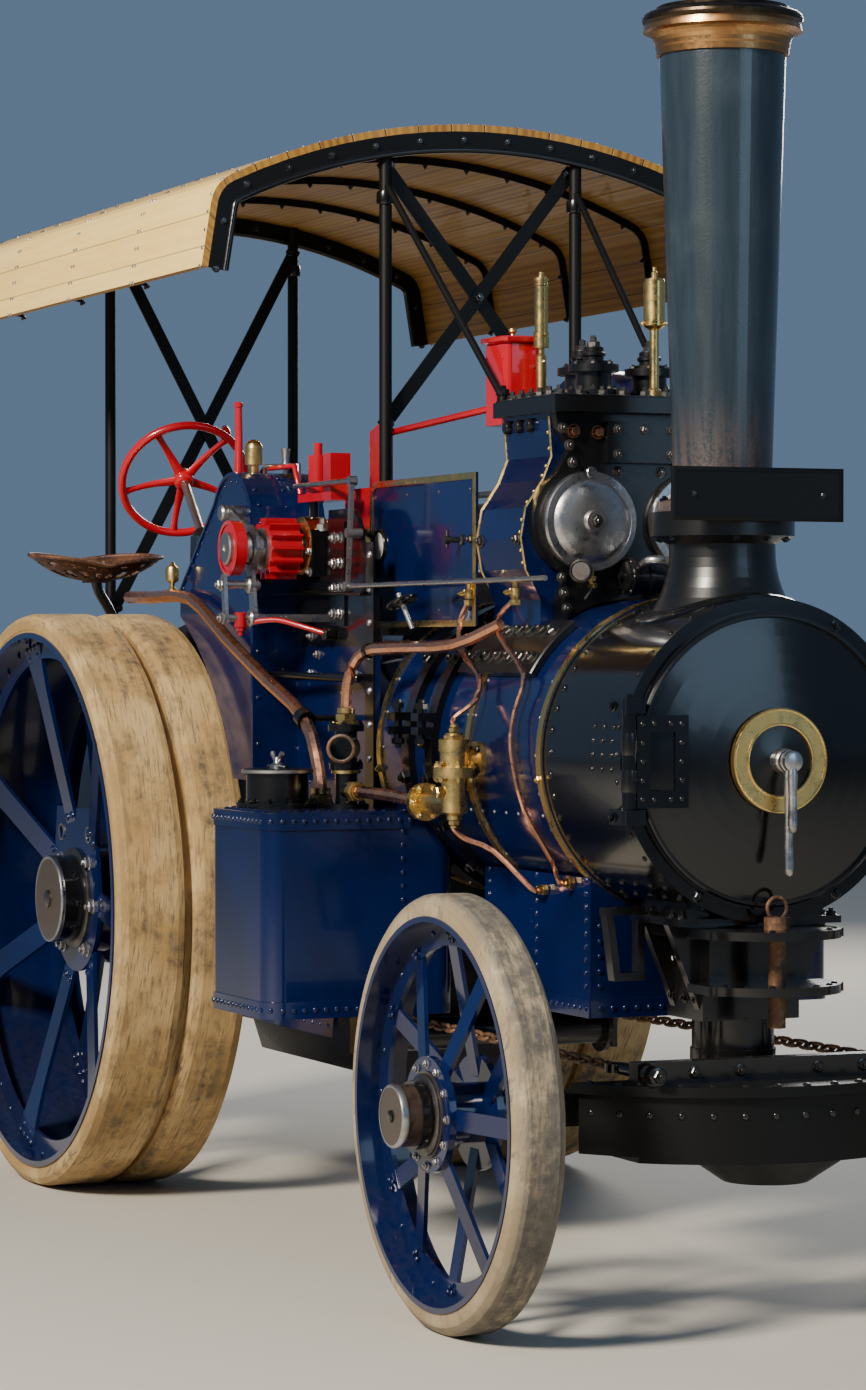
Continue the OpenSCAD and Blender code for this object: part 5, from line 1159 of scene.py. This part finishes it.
def makeHelm(place, slope, radius, rim, spokes, shaft, knob):
    maker = Maker()
    slope = math.radians(slope)
    axis = step(math.cos(slope) * 0.9903, -0.13917 * math.cos(slope), -math.sin(slope)).normalized()
    centre = at(*place)
    side, other = across(axis)
    maker.hose([centre + around(side, other, fullTurn * i / 72, radius) for i in range(72)], rim, 14, 0, True)
    maker.turn([(0.018, -0.03), (0.03, -0.028), (0.036, -0.02), (0.036, 0.014), (0.03, 0.024), (0.02, 0.028)],
               centre, axis, 32)
    for i in range(spokes):
        radial = around(side, other, fullTurn * (i + 0.2) / spokes)
        rings = []
        for k in range(9):
            t = k / 8
            wide = 0.0185 - 0.0075 * math.sin(math.pi * min(1, t * 1.15) / 2)
            wide += 0.006 * max(0, (t - 0.85) / 0.15)
            middle = centre + radial * (0.026 + (radius - 0.03) * t) - axis * 0.012 * math.sin(math.pi * t)
            rings.append([middle + around(axis.cross(radial) * wide, axis * 0.0085, fullTurn * j / 12)
                          for j in range(12)])
        maker.skin(rings)
    maker.turn([(0.024, 0), (0.024, 0.012), (0.02, 0.014), (0, 0.014)], centre - axis * 0.03, -axis, 6, 1)
    maker.rod(centre + axis * 0.02, centre + axis * shaft, 0.015, 20, 1)
    maker.turn([(0.008, 0), (0.008, 0.02), (0.014, 0.03), (0.0155, 0.055), (0.013, 0.078), (0.006, 0.086),
                (0, 0.087)], centre + around(side, other, knob, radius), -axis, 20)
    maker.make("handwheel", "helm", paint["red"], bare["steel"], slot="red_paint", stands=("steering_wheel",))


makeHelm(**helmLook)

# Pierced iron seat pan on its cranked post
seatLook = {"place": (-0.55, -0.56, 2.105), "wide": 0.245, "deep": 0.2, "rings": 11, "sectors": 72,
            "thick": 0.007,
            "post": ((-0.478, 1.56), (-0.478, 1.74), (-0.479, 1.88), (-0.50, 1.98), (-0.545, 2.06),
                     (-0.56, 2.102))}


def makeSeat(place, wide, deep, rings, sectors, thick, post):
    maker = Maker()
    centre = at(*place)

    def point(i, j, lift):
        t, a = i / rings, fullTurn * j / sectors
        notch = 1 - 0.34 * max(0, math.cos(a)) ** 3
        rise = 0.085 * t ** 2.4 * (0.55 + 0.45 * abs(math.sin(a))) + 0.03 * t ** 3 * max(0, -math.cos(a))
        return centre + step(deep * t * notch * math.cos(a), wide * t * notch * math.sin(a), rise + lift)

    def pierced(i, j):
        k = j % 9
        if i in (2, 3):
            return k in (3, 4, 5, 6) and (j // 9) % 2 == 0 or k in (4, 5)
        if i in (5, 6, 7):
            return k in (1, 2, 6, 7) if i != 6 else k in (1, 2, 3, 5, 6, 7)
        return i == 9 and k in (0, 4, 5)

    keep = {(i, j) for i in range(1, rings) for j in range(sectors) if not pierced(i, j)}
    for i, j in keep:
        quad = [(i, j), (i + 1, j), (i + 1, j + 1), (i, j + 1)]
        faces = [(0, 1, 2, 3), (7, 6, 5, 4)]
        for (da, db), (a, b) in (((-1, 0), (3, 0)), ((1, 0), (1, 2)), ((0, -1), (0, 1)), ((0, 1), (2, 3))):
            if (i + da, (j + db) % sectors) not in keep:
                faces.append((b, a, a + 4, b + 4))
        maker.add([point(a, b, lift) for lift in (thick, 0) for a, b in quad], faces)
    maker.hose([point(rings, j, thick / 2) for j in range(sectors)], 0.0075, 8, 0, True)
    maker.turn([(0.05, -0.006), (0.05, 0.008), (0.03, 0.012), (0, 0.012)], centre, up, 28)
    maker.nut(centre + up * 0.01, up, 0.018)
    # cranked flat spring under the pan, clipped to the tender's side
    maker.hose(smoothRoute([at(place[0], y, z) for y, z in post]), 0.019, 14, 1)
    for z in (1.598, 1.698):
        maker.box(at(-0.588, -0.50, z - 0.018), at(-0.512, -0.4525, z + 0.018), 1, 0.003)
        maker.nuts([at(x, -0.5, z) for x in (-0.577, -0.523)], -leftward, 0.011, 1)
    seat = maker.make("pierced_seat", "chassis", rust["seat"], paint["black"], slot="rusty_iron",
                      stands=("seat",))
    seat.modifiers.new("weld", "WELD").merge_threshold = 0.0002


makeSeat(**seatLook)

# Steering chains, linked from the barrel under the boiler to the eyes on the axle
chainLook = {"start": (1.71, 0.33, 0.706), "end": (3.438, 0.398, 0.711), "links": 38, "wire": 0.0058,
             "half": 0.0125, "twist": 0.5}


def makeChain(side, name, start, end, links, wire, half, twist):
    maker = Maker()
    a, b = [at(x, side * y, z) for x, y, z in (start, end)]
    run = (b - a).normalized()
    pitch = (b - a).length / links
    straight = pitch / 2 + wire - half
    first, second = across(run)
    for i in range(links):
        centre = a + run * pitch * (i + 0.5)
        flat = around(first, second, twist if i % 2 else twist + math.pi / 2)
        maker.hose([centre + run * way * straight + around(run, flat, math.pi * (k / 6 - way / 2), half)
                    for way in (1, -1) for k in range(7)], wire, 6, 0, True)
    piece = maker.make(name, None, rust["chain"], slot="bare_steel")
    tuple(a)
    tuple(b)
    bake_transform(piece)
    return piece


chains = [makeChain(-1, "steeringChainRight", **chainLook), makeChain(1, "steeringChainLeft", **chainLook)]
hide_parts("steering_chains")
print("helm, seat and chains made")


# Canopy: nails over the ribs, bolts under them, rolled edges of the arches and the bolts of posts and braces
roofShape = {"radius": 1.993, "middle": 1.53, "turn": 25.5, "shoulder": 0.12, "lean": 9, "drop": 0.2}
canopyLook = {"ends": (-0.986, 1.676), "ribs": (-0.3195, 0.348, 1.0155), "sheet": (-1.04, 1.668),
              "nail": 0.0065, "nailPitch": 0.057, "boltPitch": 0.15, "roll": 0.011,
              "braces": ((1.6314, 0.33, 2.56, 3.40), (-0.9334, 0.366, 2.0, 3.38)),
              "collars": ((1.6517, 0.33, 2.30), (1.6517, 0.33, 3.28), (-0.9617, 0.366, 1.79),
                          (-0.9617, 0.366, 3.30))}


# Places across the roof at a depth below its skin, from one valance foot to the other, with outward directions
def roofLine(depth, radius, middle, turn, shoulder, lean, drop):
    centre = Vector((0, middle))
    corner = centre + bearing(90 - turn, radius - shoulder)
    half = []
    for i in range(1, 15):
        out = bearing(90 - turn * i / 14)
        half.append((centre + out * (radius - depth), out))
    for i in range(1, 6):
        out = bearing(90 - turn - (90 - turn - lean) * i / 5)
        half.append((corner + out * (shoulder - depth), out))
    foot, out = half[-1]
    half.append((foot + bearing(lean - 90, drop), out))
    mirrored = [(Vector((-p.x, p.y)), Vector((-n.x, n.y))) for p, n in reversed(half)]
    return mirrored + [(centre + bearing(90, radius - depth), bearing(90))] + half


def canopyTrim(ends, ribs, sheet, nail, nailPitch, boltPitch, roll, braces, collars):
    maker = Maker()
    skin, bolted, rolled = [roofLine(depth, **roofShape) for depth in (0, 0.048, 0.08)]
    for x in ends + ribs:
        for p, n in walk(skin, nailPitch):
            for dx in (-0.013, 0.013):
                maker.rivet(at(min(sheet[1], max(sheet[0], x + dx)), p.x, p.y), step(0, n.x, n.y), nail, 0, 6)
    for x in ribs:
        for p, n in walk(bolted, boltPitch):
            maker.nut(at(x, p.x, p.y), step(0, -n.x, -n.y), 0.0085, 1, 0.6)
    for x in ends:
        maker.hose([at(x, p.x, p.y) for p, _ in rolled], roll, 10, 1)
        maker.nuts([at(x + 0.004, p.x, p.y) for p, _ in walk(bolted, boltPitch)], ahead, 0.010, 1, 0.3)
    # bolts of the lattice braces, and turned collars on the posts
    for x, y, low, high in braces:
        maker.nut(at(x, 0, (low + high) / 2), ahead, 0.015, 1)
        maker.nuts([at(x, side * (y - 0.024), z) for side in sides for z in (low + 0.012, high - 0.012)],
                   ahead, 0.0115, 1)
    for x, y, z in collars:
        for side in sides:
            maker.collar([(0.0203, -0.022), (0.027, -0.02), (0.029, -0.012), (0.029, 0.012), (0.027, 0.02),
                          (0.0203, 0.022)], at(x, side * y, z), up, 28, 1)
    for side in sides:
        maker.nut(at(2.45, side * 0.28, 2.616), up, 0.018, 1)
        maker.nuts([at(x, side * 0.425, 1.766) for x in (-0.984, -0.939)], up, 0.011, 1, 0.6)
    maker.make("canopyTrim", "chassis", bare["steel"], paint["black"])


canopyTrim(**canopyLook)

# Blank plate with a raised rim, bolts of the perch and the towing jaw's pin
perchLook = {"place": (3.549, -0.265, 2.21), "wide": 0.53, "high": 0.148, "jaw": (3.577, 0.195), "pinX": 3.659}


def perchTrim(place, wide, high, jaw, pinX):
    maker = Maker()
    maker.border([(0, 0), (wide, 0), (wide, high), (0, high)], at(*place), leftward, up, 0.011, 0.0025)
    for side in sides:
        maker.nut(at(3.5492, side * 0.2, 2.284), ahead, 0.007, 1, 0.3)
        maker.nuts([at(x, side * 0.232, 1.117) for x in (3.287, 3.35, 3.48, 3.54)], up, 0.014, 1)
        maker.nuts([at(x, side * 0.15, z) for x in (3.33, 3.40, 3.47) for z in (0.89, 0.99)],
                   leftward * side, 0.013, 1, 0.4)
    for z in (0.939, 1.09):
        for i in range(7):
            out = around(ahead, leftward, math.radians(20 * i - 60))
            maker.rivet(at(jaw[0], 0, z) + out * jaw[1], up, 0.010, 1)
    # domed head of the jaw's pin with its ring, and the washer below
    pin = at(pinX, 0, 1.09)
    maker.turn([(0.024, 0), (0.036, 0.004), (0.036, 0.02), (0.026, 0.032), (0.0, 0.036)], pin, up, 28, 2)
    maker.hose([pin + up * 0.058 + around(leftward, up, fullTurn * i / 24, 0.03) for i in range(24)],
               0.0055, 8, 2, True)
    maker.collar([(0.0245, 0), (0.038, 0), (0.038, -0.006), (0.0245, -0.006)], at(pinX, 0, 0.914), up, 28, 2)
    maker.make("perchTrim", "chassis", paint["bar"], paint["black"], rust["chain"])


perchTrim(**perchLook)

# Nuts of the steering bar and axle, and the apron's bolts
axleLook = {"barZ": 0.711, "middle": 3.207, "bow": 0.625, "rivets": 15}


def axleTrim(barZ, middle, bow, rivets):
    maker = Maker()
    for side in sides:
        maker.nut(at(3.737, side * 0.40, barZ), ahead, 0.020)
        maker.nuts([at(3.673, side * y, barZ) for y in (0.12, 0.26)], ahead, 0.014, 0, 0.4)
        maker.nuts([at(x, side * y, 0.642) for x in (3.36, 3.434) for y in (0.17, 0.30, 0.55)], up, 0.015,
                   0, 0.6)
    for i in range(rivets):
        out = around(ahead, leftward, math.radians(-56 + 112 * i / (rivets - 1)))
        maker.rivet(at(middle, 0, 0.68) + out * bow, up, 0.0125)
        maker.rivet(at(middle, 0, 0.60) + out * (bow - 0.007), out, 0.011)
    maker.make("axleTrim", "fore_carriage", paint["black"])


axleTrim(**axleLook)
print("canopy and perch trimmed")


# Boiler: screws beside the brass bands and along the lagging, bolts of the bands and of the clamp bands
boilerLook = {"bands": (1.882, 2.56, 3.066), "width": 0.032, "screw": 0.0055, "skin": 0.4502,
              "clamps": (2.148, 2.328), "clampR": 0.472, "bolts": (35, 55, 100, 118, 136)}


def boilerTrim(bands, width, screw, skin, clamps, clampR, bolts):
    maker = Maker()
    for x in bands:
        for beside in (x - 0.012, x + width + 0.012):
            # no screws under the neighbouring plates at both ends
            if 1.885 < beside < 3.09:
                maker.hoop(beside, skin, 0.11, screw, 20, 340)
        for angle in (-98, 98):
            maker.nut(*onBoiler(x + width / 2, angle, 0.455), 0.011, 1)
    for x in clamps:
        for angle in bolts:
            for side in sides:
                maker.nut(*onBoiler(x, side * angle, clampR), 0.0195, 2, washer=False)
        for side in sides:
            for z, way in ((1.678, up), (1.588, -up)):
                maker.nut(at(x, side * 0.494, z), way, 0.02, 2, washer=False)
    for side in sides:
        for i in range(14):
            maker.rivet(*onBoiler(1.93 + 0.085 * i, side * 112, skin), screw)
    maker.make("boilerTrim", "chassis", bare["steel"], bare["brass"], paint["black"])


boilerTrim(**boilerLook)

# Pipes, clack and lifter: hexagon unions, flange nuts, clamps and an oil cup
pipeLook = {"lifter": (1.965, -0.59, 1.37), "neck": (1.86, -0.775, 1.37), "clamp": (1.638, -0.6, 1.64),
            "cup": (0.51, -0.64, 2.05), "cocks": ((2.41, -0.372), (2.72, -0.362)), "clackX": 2.66,
            "clackY": -0.53, "elbowZ": 1.405, "clips": ((2.06, -0.555, 1.852), (2.24, -0.508, 1.862))}


def pipeTrim(lifter, neck, clamp, cup, cocks, clackX, clackY, elbowZ, clips):
    maker = Maker()
    lifter, neck, clamp = at(*lifter), at(*neck), at(*clamp)
    rightward = -leftward
    for place, axis, radius, length in (
            (lifter + up * 0.256, up, 0.034, 0.034), (at(1.78, -0.6, 1.372), up, 0.038, 0.036),
            (lifter + step(0.06, 0, 0.054), ahead, 0.033, 0.034),
            (at(2.394, clackY, elbowZ), ahead, 0.033, 0.034),
            (at(2.41, -0.372, 1.985), up, 0.018, 0.02), (at(2.72, -0.362, 1.983), up, 0.018, 0.02),
            (at(clackX, clackY, 1.6135), up, 0.017, 0.016), (at(clackX, clackY, 1.36), -up, 0.017, 0.016),
            (at(2.99, -0.3005, 1.19), rightward, 0.017, 0.02),
            (at(2.81, -0.3005, 1.16), rightward, 0.017, 0.02)):
        maker.union(place, axis, radius, length)
    # brass cocks under the block, with their plugs and levers
    for x, y in cocks:
        maker.turn([(0.011, 0), (0.016, 0.004), (0.016, 0.03), (0.010, 0.034), (0.010, 0.052), (0, 0.052)],
                   at(x, y, 2.005), up, 16)
        maker.turn([(0.012, -0.026), (0.009, 0.014), (0.006, 0.018), (0, 0.018)], at(x, y - 0.016, 2.022),
                   rightward, 16)
        maker.rod(at(x, y - 0.036, 2.022), at(x + 0.05, y - 0.036, 2.03), 0.0045, 10, 0, 0.001)
    # clack valve: flange nuts, cap, side plug and elbow bolts
    for z, way, stud in ((1.514, up, 0.6), (1.482, -up, 0.3)):
        maker.nuts(ringPlaces(at(clackX, clackY, z), up, 0.052, 6, 20), way, 0.0105, 0, stud)
    maker.collar([(0.033, 0), (0.033, 0.012), (0.028, 0.015), (0.016, 0.015)], at(clackX, clackY, 1.594), up, 6)
    maker.turn([(0.019, 0), (0.019, 0.02), (0.015, 0.024), (0, 0.024)], at(clackX, -0.567, 1.44), rightward, 6)
    for x, way in ((2.43, -ahead), (2.454, ahead)):
        maker.nuts(ringPlaces(at(x, clackY, elbowZ), way, 0.045, 6), way, 0.009)
    maker.nuts(ringPlaces(at(clackX, -0.466, 1.536), rightward, 0.041, 4, 45), rightward, 0.009, 1)
    # lifter: studs on its flanges, brass ring and the worn lip of its mouth
    for rise, radius, start, size in ((0.014, 0.057, 10, 0.0095), (0.138, 0.043, 30, 0.008),
                                      (0.256, 0.047, 0, 0.0085)):
        maker.nuts(ringPlaces(lifter + up * rise, up, radius, 6, start), up, size, 1, 0.6)
    maker.collar([(0.0345, 0), (0.046, 0.002), (0.046, 0.012), (0.0345, 0.014)], lifter + up * 0.105, up, 32)
    mouth = around(ahead, rightward, math.radians(30))
    maker.collar([(0.0342, -0.012), (0.0342, 0.001), (0.038, 0.003), (0.044, 0.001), (0.0455, -0.003),
                  (0.0442, -0.008)], lifter + up * 0.185 + mouth * 0.11, mouth, 32, 3)
    # filler neck: studs round its foot, bright rim and the wing nut on its lid
    maker.nuts(ringPlaces(neck + up * 0.016, up, 0.112, 10, 18), up, 0.0095, 1, 0.6)
    maker.collar([(0.1082, -0.006), (0.1105, -0.004), (0.1105, 0.004), (0.1082, 0.006)], neck + up * 0.113,
                 up, 48, 2)
    maker.turn([(0.022, 0), (0.022, 0.01), (0.013, 0.016), (0.009, 0.034), (0, 0.036)], neck + up * 0.122,
               up, 24, 2)
    for wing in sides:
        maker.hose([neck + step(wing * 0.02 * i, 0, rise) for i, rise in enumerate((0.142, 0.15, 0.168))],
                   lambda t: 0.0055 + 0.003 * t, 10, 2)
    maker.rod(neck + step(-0.075, 0, 0.125), neck + step(0.075, 0, 0.125), 0.008, 12, 1, 0.002)
    # feed pipe: black clamp held from the hornplate, and its brass oil cup
    maker.collar([(0.0215, -0.02), (0.031, -0.018), (0.031, 0.018), (0.0215, 0.02)], clamp,
                 step(0.285, 0.02, -0.13), 20, 1)
    maker.rod(clamp + leftward * 0.028, clamp + leftward * 0.1485, 0.010, 12, 1, 0.001)
    maker.nut(clamp + leftward * 0.148, rightward, 0.02, 1, 0)
    maker.turn([(0.0, -0.008), (0.014, 0), (0.014, 0.012), (0.008, 0.018), (0.008, 0.03), (0.022, 0.04),
                (0.024, 0.075), (0.02, 0.086), (0.010, 0.092), (0.006, 0.1), (0, 0.104)], at(*cup))
    # clips that hold the delivery pipe to the barrel
    for place in clips:
        maker.collar([(0.0185, -0.009), (0.0235, -0.008), (0.0235, 0.008), (0.0185, 0.009)], at(*place),
                     step(1, 0.22, 0.03), 20, 1)
    maker.make("pipeTrim", "chassis", bare["brass"], paint["black"], bare["steel"], rust["chain"])


pipeTrim(**pipeLook)
print("boiler and pipes trimmed")


# Top of the block: whistle rings and lever, flared lid of the red cabinet, hand wheel on its slanting spindle
topLook = {"whistle": (2.47, -0.165, 0), "cabinetX": 2.34, "cabinetY": -0.2, "top": 2.797, "long": 0.08,
           "wide": 0.06, "wheel": (2.12, -0.47, 2.0), "lean": (-0.35, -0.25, 0.9),
           "flare": ((0.0, 2.772), (0.012, 2.779), (0.014, 2.79), (0.010, 2.794), (-0.02, 2.797))}


def topTrim(whistle, cabinetX, cabinetY, top, long, wide, wheel, lean, flare):
    maker = Maker()
    whistle = at(*whistle)
    for z, radius, bevel, tall in ((2.79, 0.0235, 0.003, 0.014), (2.94, 0.0225, 0.002, 0.01)):
        maker.collar([(0.0205, 0), (radius, bevel), (radius, tall - bevel), (0.0205, tall)], whistle + up * z)
    maker.rod(whistle + step(-0.07, 0, 2.70), whistle + step(0.03, 0, 2.715), 0.005, 10, 1, 0.001)
    maker.nuts(ringPlaces(at(2.78, 0.058, 2.81), up, 0.037, 6), up, 0.007)
    # lid of the cabinet with its flare and knob, and the rivets on its side
    corners = [(1, -0.85), (1, 0), (1, 0.85), (0.85, 1), (0, 1), (-0.85, 1), (-1, 0.85), (-1, 0), (-1, -0.85),
               (-0.85, -1), (0, -1), (0.85, -1)]
    maker.skin([[at(cabinetX + (long + grow) * sx * (1 if abs(sy) < 1 else 0.93),
                    cabinetY + (wide + grow) * sy * (1 if abs(sx) < 1 else 0.93), z) for sx, sy in corners]
                for grow, z in flare], 2)
    maker.turn([(0.009, 0), (0.007, 0.008), (0.013, 0.016), (0.012, 0.024), (0, 0.028)],
               at(cabinetX, cabinetY, top), up, 20)
    for z in (2.58, 2.73):
        for dx in (-0.06, 0.06):
            maker.rivet(at(cabinetX + dx, cabinetY - wide, z), -leftward, 0.006, 2, 6)
    # regulator spindle from the block back over the firebox, and the hand wheel below the motion cover
    maker.rod(at(1.2, 0.12, 2.36), at(2.43, 0.12, 2.36), 0.011, 14, 1, 0.001)
    wheel, lean = at(*wheel), Vector(lean).normalized()
    maker.rod(wheel - lean * 0.09, wheel + lean * 0.03, 0.008, 12, 1, 0.001)
    side, other = across(lean)
    maker.hose([wheel + around(side, other, fullTurn * i / 32, 0.045) for i in range(32)], 0.0065, 8, 3, True)
    for i in range(4):
        maker.rod(wheel, wheel + around(side, other, fullTurn * i / 4, 0.043), 0.005, 8, 3)
    maker.turn([(0.012, -0.01), (0.015, -0.006), (0.015, 0.006), (0.012, 0.01)], wheel, lean, 16, 3)
    maker.make("topTrim", "chassis", bare["brass"], bare["steel"], paint["red"], paint["black"])


topTrim(**topLook)

# Tender: rivets along its plates, beading on its top edge, lamp irons and the bolts of the drawbar
tenderLook = {"back": -1.38, "y": 0.452, "size": 0.0085, "pitch": 0.062, "bead": 0.011,
              "top": ((-0.327, 1.517), (-0.42, 1.56), (-0.52, 1.65), (-0.531, 1.69), (-0.552, 1.728),
                      (-0.6, 1.75), (-1.375, 1.75)),
              "rows": ((-1.35, 0.73, -0.33, 0.73), (-1.35, 0.73, -1.35, 1.72), (-0.79, 0.76, -0.79, 1.71),
                       (-0.33, 0.76, -0.33, 1.47), (-1.32, 1.13, -0.36, 1.13), (-1.32, 1.715, -0.62, 1.715))}


def tenderTrim(back, y, size, pitch, bead, top, rows):
    maker = Maker()
    for side in sides:
        maker.hose([at(x, side * (y - 0.004), z) for x, z in top], bead, 10, 1)
        for ax, az, bx, bz in rows:
            maker.rivetRow(at(ax, side * y, az), at(bx, side * y, bz), pitch, leftward * side, size)
        maker.rivetRow(at(back, side * 0.42, 0.76), at(back, side * 0.42, 1.72), pitch, -ahead, size)
    for z in (0.73, 1.13, 1.72):
        maker.rivetRow(at(back, -0.39, z), at(back, 0.39, z), pitch, -ahead, size)
    maker.hose([at(back + 0.004, beadY, 1.75) for beadY in (-0.44, 0, 0.44)], bead, 10, 1)
    for ironY in (-0.3, 0.3):
        maker.box(at(back - 0.016, ironY - 0.02, 1.50), at(back - 0.001, ironY + 0.02, 1.60), 1, 0.003)
    maker.nuts([at(back - 0.03, boltY, z) for boltY in (-0.075, 0.075) for z in (0.784, 0.884)], up, 0.014, 1)
    maker.make("tenderTrim", "chassis", paint["navy"], paint["black"])


tenderTrim(**tenderLook)

# Back of the firebox: stay heads round the fire hole, gauge glasses with their cocks, dial and regulator handle
backheadLook = {"x": 0.25, "holeZ": 1.4, "low": 1.70, "high": 1.93, "glassY": 0.20}


def backheadTrim(x, holeZ, low, high, glassY):
    maker = Maker()
    glassX = x - 0.05
    for i in range(24):
        maker.rivet(at(x, 0, holeZ) + around(leftward, up, fullTurn * i / 24, 0.235), -ahead, 0.011)
    for y in (-glassY, glassY):
        for z in (low, high):
            maker.rod(at(x + 0.002, y, z), at(x - 0.055, y, z), 0.013, 16, 1, 0.002)
            maker.turn([(0.017, -0.02), (0.02, -0.014), (0.02, 0.014), (0.017, 0.02)], at(glassX, y, z), up,
                       20, 1)
            maker.rod(at(glassX, y - 0.035, z), at(glassX, y + 0.035, z), 0.006, 10, 1, 0.001)
        maker.rod(at(glassX, y, low + 0.01), at(glassX, y, high - 0.01), 0.0075, 14, 2)
        for dx, dy in ((-0.02, 0.016), (-0.02, -0.016), (0.02, 0.016), (0.02, -0.016)):
            maker.rod(at(glassX + dx, y + dy, low + 0.015), at(glassX + dx, y + dy, high - 0.015), 0.003, 8, 1)
    maker.turn([(0.062, 0.0), (0.07, 0.006), (0.07, 0.03), (0.064, 0.036), (0.06, 0.03), (0, 0.03)],
               at(x - 0.03, 0, high), -ahead, 40, 1)
    maker.turn([(0.06, 0), (0.06, 0.0008), (0, 0.0008)], at(x - 0.0602, 0, high), -ahead, 40, 4)
    maker.rod(at(x + 0.002, 0, high), at(x - 0.031, 0, high), 0.012, 14, 1)
    maker.turn([(0.03, 0), (0.03, 0.01), (0.018, 0.014), (0.018, 0.05), (0, 0.052)], at(x, 0, 1.76), -ahead,
               28, 1)
    maker.hose([at(x - 0.045, -0.02, 1.755), at(x - 0.05, 0.06, 1.775), at(x - 0.06, 0.15, 1.80)],
               lambda t: 0.008 + 0.003 * t, 12, 3)
    maker.make("backheadTrim", "chassis", paint["black"], bare["brass"], bare["copper"], bare["steel"],
               paint["white"])


backheadTrim(**backheadLook)


# Rivets and knob of the fire door
def hatchTrim():
    maker = Maker()
    for place in ringPlaces(at(0.2137, 0, 1.4), -ahead, 0.148, 14):
        maker.rivet(place, -ahead, 0.009)
    maker.turn([(0.012, 0), (0.022, 0.01), (0.025, 0.024), (0.018, 0.038), (0, 0.044)], at(0.162, -0.12, 1.4),
               -ahead, 24, 1)
    maker.make("hatchTrim", "fire_hatch", paint["black"], bare["steel"])


hatchTrim()
print("tender and firebox back trimmed")


cameraLook = {"place": (13.465, -5.205, 1.853), "yaw": 0.4031, "pitch": -0.011, "lens": 104.8}


def makeCamera(place, yaw, pitch, lens):
    camera = bpy.data.objects.new("camera", bpy.data.cameras.new("camera"))
    bpy.context.scene.collection.objects.link(camera)
    camera.location = at(*place)
    gaze = step(-math.cos(pitch) * math.cos(yaw), math.cos(pitch) * math.sin(yaw), math.sin(pitch))
    camera.rotation_mode = "QUATERNION"
    camera.rotation_quaternion = gaze.to_track_quat("-Z", "Y")
    camera.data.lens = lens
    camera.data.sensor_width = 36
    camera.data.clip_end = 200
    bpy.context.scene.camera = camera


studioLook = {
    "floor": rgb(0.55, 0.51, 0.44), "sky": rgb(0.42, 0.65, 1.0), "skyPower": 0.27,
    # name: place, aim, size, power, colour
    "lights": {
        "key": ((7.0, -11.0, 9.5), (0.0, 0.0, 1.4), 2.6, 4100, (1.0, 0.92, 0.79)),
        "front": ((13.0, 3.5, 5.0), (1.0, 0.0, 1.5), 5.0, 170, (0.50, 0.74, 1.0)),
        "back": ((-9.0, 7.0, 7.0), (0.0, 0.0, 1.5), 5.0, 1000, (1.0, 0.96, 0.90)),
    },
}


def makeStudio(floor, sky, skyPower, lights):
    slab = Maker()
    slab.box(step(-60, -60, -0.05), step(60, 60, 0))
    ground = Finish("studioFloor")
    ground.give(color=floor, rough=0.85)
    slab.make("studioFloor", None, ground.material)
    for name, (place, aim, size, power, tone) in lights.items():
        lamp = bpy.data.objects.new(name, bpy.data.lights.new(name, "AREA"))
        lamp.data.size = size
        lamp.data.energy = power
        lamp.data.color = tone
        lamp.location = place
        lamp.rotation_mode = "QUATERNION"
        lamp.rotation_quaternion = (Vector(aim) - Vector(place)).to_track_quat("-Z", "Y")
        bpy.context.scene.collection.objects.link(lamp)
    world = bpy.data.worlds.new("studio")
    world.use_nodes = True
    world.node_tree.nodes["Background"].inputs[0].default_value = sky
    world.node_tree.nodes["Background"].inputs[1].default_value = skyPower
    bpy.context.scene.world = world


makeCamera(**cameraLook)
makeStudio(**studioLook)
print("camera and studio made")
